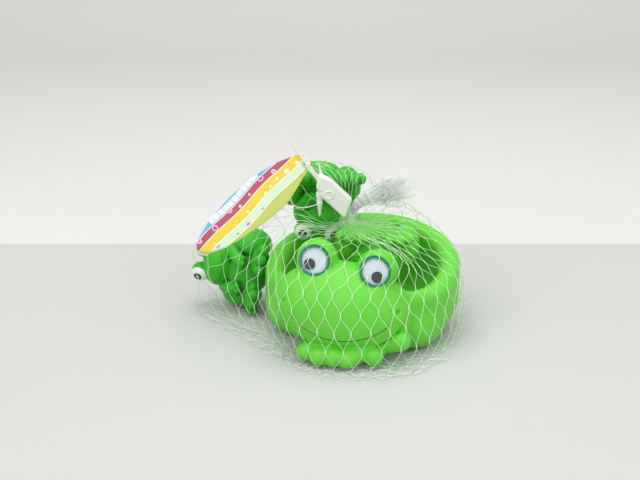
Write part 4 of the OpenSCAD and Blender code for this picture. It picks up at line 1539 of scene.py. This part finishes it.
@dataclass
class HeaderCard:
    """A printed card in a lens shape that hangs on the strap's pin."""

    clip: BagClip
    long: float = 88.0
    wide: float = 29.0
    thick: float = 0.5
    hole: float = 1.5
    outline: tuple[tuple[float, float], ...] = (
        (-0.034, 0.04), (-0.026, -0.08), (0.045, -0.14), (0.166, -0.23), (0.290, -0.31),
        (0.447, -0.27), (0.604, -0.18), (0.697, -0.12), (0.792, -0.04), (0.877, 0.08),
        (0.935, 0.20), (0.963, 0.32), (0.945, 0.44), (0.878, 0.55), (0.732, 0.65), (0.527, 0.67),
        (0.366, 0.62), (0.254, 0.56), (0.161, 0.48), (0.080, 0.38), (0.0, 0.26), (-0.026, 0.15),
    )
    uv_from: Pair = (0.04, 0.32)
    white: Point = (0.86, 0.86, 0.85)
    bands: tuple[tuple[float, float, Point], ...] = (
        (-1.0, 0.27, (0.50, 0.57, 0.13)), (0.27, 0.44, (0.62, 0.78, 0.56)),
        (0.44, 0.645, (0.80, 0.60, 0.045)), (0.645, 0.80, (0.47, 0.075, 0.145)),
        (0.80, 2.0, (0.13, 0.42, 0.68)),
    )
    panel: Point = (0.80, 0.83, 0.86)
    ink: Point = (0.52, 0.62, 0.74)
    orange: Point = (0.75, 0.22, 0.04)
    rose: Point = (0.86, 0.60, 0.66)
    drops: Part = ((0.10, 0.34, 0.70), (0.62, 0.12, 0.42))

    def rim(self, count: int = 176) -> Array:
        """The outline as a smooth closed curve, by its low Fourier terms.

        Args:
            count: Number of points.

        Returns:
            Points along and across the card.
        """
        p = np.array(self.outline) * np.array([self.long, self.wide])
        fine, terms = 256, 14
        s = np.concatenate([[0], np.cumsum(length(np.roll(p, -1, 0) - p))])
        even = np.linspace(0, s[-1], fine, endpoint=False)
        x, y = (np.interp(even, s, c) for c in np.concatenate([p, p[:1]]).T)
        spectrum = np.fft.fft(x + 1j * y)
        spectrum[terms:-terms] = 0
        z = np.fft.ifft(spectrum)[np.linspace(0, fine, count, endpoint=False).astype(int)]
        return np.stack([z.real, z.imag], -1)

    def skin(self) -> Skin:
        """Draws the card: rings from the hole out to the rim on both faces, slightly bowed.

        Returns:
            The card with its print coordinates, 0 to 1 along and across.
        """
        rim = self.rim()
        count, rings = len(rim), 24
        angle = np.arctan2(rim[:, 1], rim[:, 0])
        inner = np.stack([np.cos(angle), np.sin(angle)], -1) * self.hole
        t = np.linspace(0, 1, rings)[:, None, None]
        face = (inner * (1 - t) + rim * t).reshape(-1, 2)
        along, half = face[:, 0], self.thick / 2
        bow = 0.6 * ramp(along, 18.0, 86.0) + 0.35 * np.sin(along * 0.07) * (along > 8)
        sides = [np.concatenate([face, (bow + lift)[:, None]], 1) for lift in (half, -half)]
        i, j = np.meshgrid(np.arange(rings - 1), np.arange(count), indexing="ij")
        nxt, total = (j + 1) % count, rings * count
        low, high = i * count, (i + 1) * count
        quad = np.stack([low + j, high + j, high + nxt, low + nxt], -1).reshape(-1, 4)
        k, last = np.arange(count), (rings - 1) * count
        n = (k + 1) % count
        edge = np.stack([last + k, last + k + total, last + n + total, last + n], -1)
        bore = np.stack([k, n, n + total, k + total], -1)
        faces = np.concatenate([quad, quad[:, ::-1] + total, edge, bore])
        origin, axes = self.clip.card_frame()
        uv = np.tile(face, (2, 1)) / np.array([self.long, self.wide]) + np.array(self.uv_from)
        back = np.repeat([1.0, 0.0], total)
        return Skin(np.concatenate(sides) @ axes.T + origin, faces, {"UVMap": uv, "back": back})

    def print_finish(self) -> Material:
        """Glossy card with a generic print: wavy colour bands, bubbles, drops and dots.

        Returns:
            The material.
        """
        s = Shader("card_print")
        s.set(Coat_Weight=0.35, Coat_Roughness=0.12, IOR=1.5)
        uv = s.node("ShaderNodeUVMap", {}, uv_map="UVMap").outputs[0]
        u, v = s.node("ShaderNodeSeparateXYZ", {0: uv}).outputs[:2]
        wave = s.times(s.maths("SINE", s.times(u, 13.0)), 0.018)
        w = s.maths("ADD", s.maths("ADD", v, wave), s.times(u, -0.02))
        tint: object = self.white
        for low, high, colour in self.bands:
            tint = s.mix(s.band(w, low + 0.008, high - 0.008, 0.006), tint, colour)
        panel = s.times(s.band(w, 0.825, 0.95, 0.006), s.band(u, 0.34, 0.80, 0.004))
        tint = s.mix(panel, tint, self.panel)
        wide = s.node("ShaderNodeMapping", {"Vector": uv, "Scale": (13.0, 4.4, 1.0)}).outputs[0]
        settings = {"Vector": wide, "Scale": 1.0, "Randomness": 0.55}
        near = s.node("ShaderNodeTexVoronoi", settings, feature="F1").outputs["Distance"]
        yellow = s.band(w, 0.47, 0.62, 0.006)
        tint = s.mix(s.times(yellow, s.band(near, -1.0, 0.27, 0.03)), tint, self.white)
        tint = s.mix(s.times(yellow, s.band(near, 0.10, 0.17, 0.03)), tint, self.orange)
        pink = s.band(w, 0.665, 0.78, 0.006)
        tint = s.mix(s.times(pink, s.band(near, 0.22, 0.30, 0.02)), tint, self.rose)
        pale = s.band(w, 0.29, 0.42, 0.006)
        hue = s.mix(s.band(s.maths("FRACT", s.times(u, 6.0)), 0.5, 2.0, 0.02), *self.drops)
        tint = s.mix(s.times(pale, s.band(near, -1.0, 0.20, 0.03)), tint, hue)
        settings = {"Vector": uv, "Scale": 7.0, "Distortion": 3.0}
        ripple = s.node("ShaderNodeTexWave", settings, wave_type="BANDS").outputs["Fac"]
        tint = s.mix(s.times(panel, s.band(ripple, 0.0, 0.16, 0.05)), tint, self.ink)
        plain = s.mix(s.object_noise(300.0), (0.72, 0.72, 0.70), (0.62, 0.62, 0.60))
        s.colour(s.mix(s.number("back"), tint, plain))
        s.rough(s.object_noise(90.0), 0.28, 0.42)
        s.bump(s.object_noise(60.0, 2.0), 0.0004, 0.2)
        return s.material

    def build(self) -> None:
        """Makes the card."""
        made = piece("card_sheet", self.skin(), self.print_finish(), "card")
        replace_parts(made, "header_card")


# Finishes of the CAD nodes that stay, and of the packing


CAD_FINISHES = {
    "eye_cup": Plastic("eye_cup_teal", (0.020, 0.16, 0.20), (0.030, 0.26, 0.22), 0.28, 70.0,
                       coat=0.3),
    "eye_disc": Plastic("eye_disc_card", (0.76, 0.83, 0.95), (0.82, 0.87, 0.95), 0.5, 160.0),
    "pupil": Plastic("pupil_black", (0.005, 0.005, 0.007), (0.010, 0.010, 0.014), 0.45, grain=0.0),
    "eye_dome": Plastic("eye_clear_cap", (0.30, 0.34, 0.40), (0.26, 0.31, 0.38), 0.22,
                        grain=0.0, coat=0.5, alpha=0.08),
    "squeaker_reed": Plastic("reed_film", (0.55, 0.56, 0.58), (0.68, 0.69, 0.70), 0.4),
    "squeaker": Plastic("squeaker_green", (0.20, 0.55, 0.12), (0.15, 0.48, 0.08), 0.4, 120.0),
}


# The pouch net and its knots are white plastic tinted green: painted green light that the lime
# frogs throw on and through the strands.
NET_PAINTED_GREEN_LIGHT = Plastic("net_plastic", (0.70, 0.90, 0.66), (0.60, 0.87, 0.54), 0.25, 200.0,
              coat=0.3, alpha=0.62)
KNOT_PAINTED_GREEN_LIGHT = Plastic("net_knot_plastic_painted_green_light", (0.74, 0.93, 0.68), (0.66, 0.91, 0.60), 0.22, 200.0, coat=0.4)
SLACK = Plastic("slack_net_plastic", (0.86, 0.91, 0.84), (0.80, 0.88, 0.78), 0.25, 200.0,
                coat=0.3, alpha=0.5)
FAN = Plastic("bag_tail_plastic", (0.86, 0.91, 0.86), (0.80, 0.87, 0.80), 0.3, 120.0, alpha=0.38)
CLIP = Plastic("clip_plastic", (0.70, 0.70, 0.65), (0.64, 0.65, 0.59), 0.38, 90.0, coat=0.15)


def dress_cad_nodes() -> None:
    """Gives the eye pieces and the squeakers their materials."""
    made = {key: finish.material() for key, finish in CAD_FINISHES.items()}
    for name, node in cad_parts.items():
        key = next((k for k in made if k in name), None)
        if key is None or node.hide_render:
            continue
        node.data.materials.clear()
        node.data.materials.append(made[key])


# Studio


@dataclass(frozen=True)
class Studio:
    """Pale floor and backdrop, soft light and the photograph's camera."""

    target: Point = (-27.0, -10.0, 61.5)
    elevation: float = 20.0
    reach: float = 700.0
    focal_px: float = 1120.0
    board_edge: float = 0.150
    half_width: float = 3000.0
    front: float = -2500.0
    turn_up: float = 900.0
    turn_radius: float = 500.0
    top: float = 2600.0
    sensor: float = 36.0
    pixels: float = 640.0
    aim: Point = (0.0, 0.0, 0.04)
    lamps: tuple[tuple[str, Point, float, float], ...] = (
        ("key_lamp", (-0.55, -0.75, 1.05), 1.5, 11.5),
        ("fill_lamp", (0.9, -0.7, 0.7), 1.4, 5.0),
        ("top_lamp", (0.05, 0.15, 1.2), 1.2, 8.5),
    )
    world_strength: float = 0.68

    def floor(self) -> None:
        """A floor, paler past the board's edge, that a quarter round turns up into a backdrop."""
        a, r = np.linspace(0, np.pi / 2, 24), self.turn_radius
        y = np.concatenate([[self.front], self.turn_up + r * np.sin(a), [self.turn_up + r]])
        z = np.concatenate([[0.0], r - r * np.cos(a), [self.top]])
        x = np.array([-self.half_width, self.half_width])
        grid = np.stack(np.broadcast_arrays(x[None, :], y[:, None], z[:, None]), -1).reshape(-1, 3)
        k = np.arange(len(y) - 1)[:, None] * 2
        faces = (k + np.array([[0, 1, 3, 2]])).reshape(-1, 4)
        s = Shader("pale_floor")
        s.set(Roughness=0.7)
        depth = s.node("ShaderNodeSeparateXYZ", {0: s.object_place()}).outputs[1]
        near = s.mix(s.object_noise(3.0), (0.48, 0.485, 0.47), (0.51, 0.515, 0.50))
        far = s.mix(s.object_noise(3.0), (0.60, 0.595, 0.58), (0.63, 0.625, 0.61))
        s.colour(s.mix(s.band(depth, self.board_edge, 90.0, 0.004), near, far))
        mesh = bpy.data.meshes.new("floor")
        mesh.from_pydata((grid * MM).tolist(), [], faces.tolist())
        mesh.polygons.foreach_set("use_smooth", np.ones(len(faces), bool))
        mesh.materials.append(s.material)
        made = bpy.data.objects.new("floor", mesh)
        bpy.context.scene.collection.objects.link(made)

    def lamp(self, name: str, at: Point, size: float, power: float) -> None:
        """A square lamp that faces the toys.

        Args:
            name: Its name.
            at: Its place in metres.
            size: Its side in metres.
            power: Its power in watts.
        """
        data = bpy.data.lights.new(name, "AREA")
        data.size = size
        data.energy = power
        made = bpy.data.objects.new(name, data)
        made.location = at
        away = made.location - Vector(self.aim)
        made.rotation_mode = "QUATERNION"
        made.rotation_quaternion = away.to_track_quat("Z", "Y")
        bpy.context.scene.collection.objects.link(made)

    def camera(self) -> None:
        """Stands the camera at the photograph's angle."""
        data = bpy.data.cameras.new("camera")
        data.lens = self.focal_px / self.pixels * self.sensor
        data.sensor_width = self.sensor
        data.clip_start, data.clip_end = 0.01, 20.0
        made = bpy.data.objects.new("camera", data)
        e = np.radians(self.elevation)
        back = np.array([0.0, -np.cos(e), np.sin(e)])
        made.location = (np.array(self.target) + back * self.reach) * MM
        made.rotation_mode = "XYZ"
        made.rotation_euler = (np.pi / 2 - e, 0.0, 0.0)
        bpy.context.scene.collection.objects.link(made)
        bpy.context.scene.camera = made

    def build(self) -> None:
        """Sets up the floor, the lamps, the world and the camera."""
        self.floor()
        for lamp in self.lamps:
            self.lamp(*lamp)
        world = bpy.data.worlds.new("studio_world")
        world.use_nodes = True
        light = world.node_tree.nodes["Background"].inputs
        light["Color"].default_value = (1.0, 1.0, 1.0, 1.0)
        light["Strength"].default_value = self.world_strength
        scene = bpy.context.scene
        scene.world = world
        scene.view_settings.view_transform = "Standard"
        self.camera()


def main() -> None:
    """Builds the set piece by piece."""
    Studio().build()
    family = FrogFamily()
    family.build()
    net = NET_PAINTED_GREEN_LIGHT.material()
    NetBag(family).build(net, KNOT_PAINTED_GREEN_LIGHT.material(), SLACK.material())
    bundle, clip = BagTail(), BagClip()
    bundle.build(FAN.material())
    piece("bag_throat", bundle.gathered_throat(clip.mouth()), net, "bag_top")
    clip.build(CLIP.material())
    HeaderCard(clip).build()
    dress_cad_nodes()


if __name__ == "__main__":
    main()
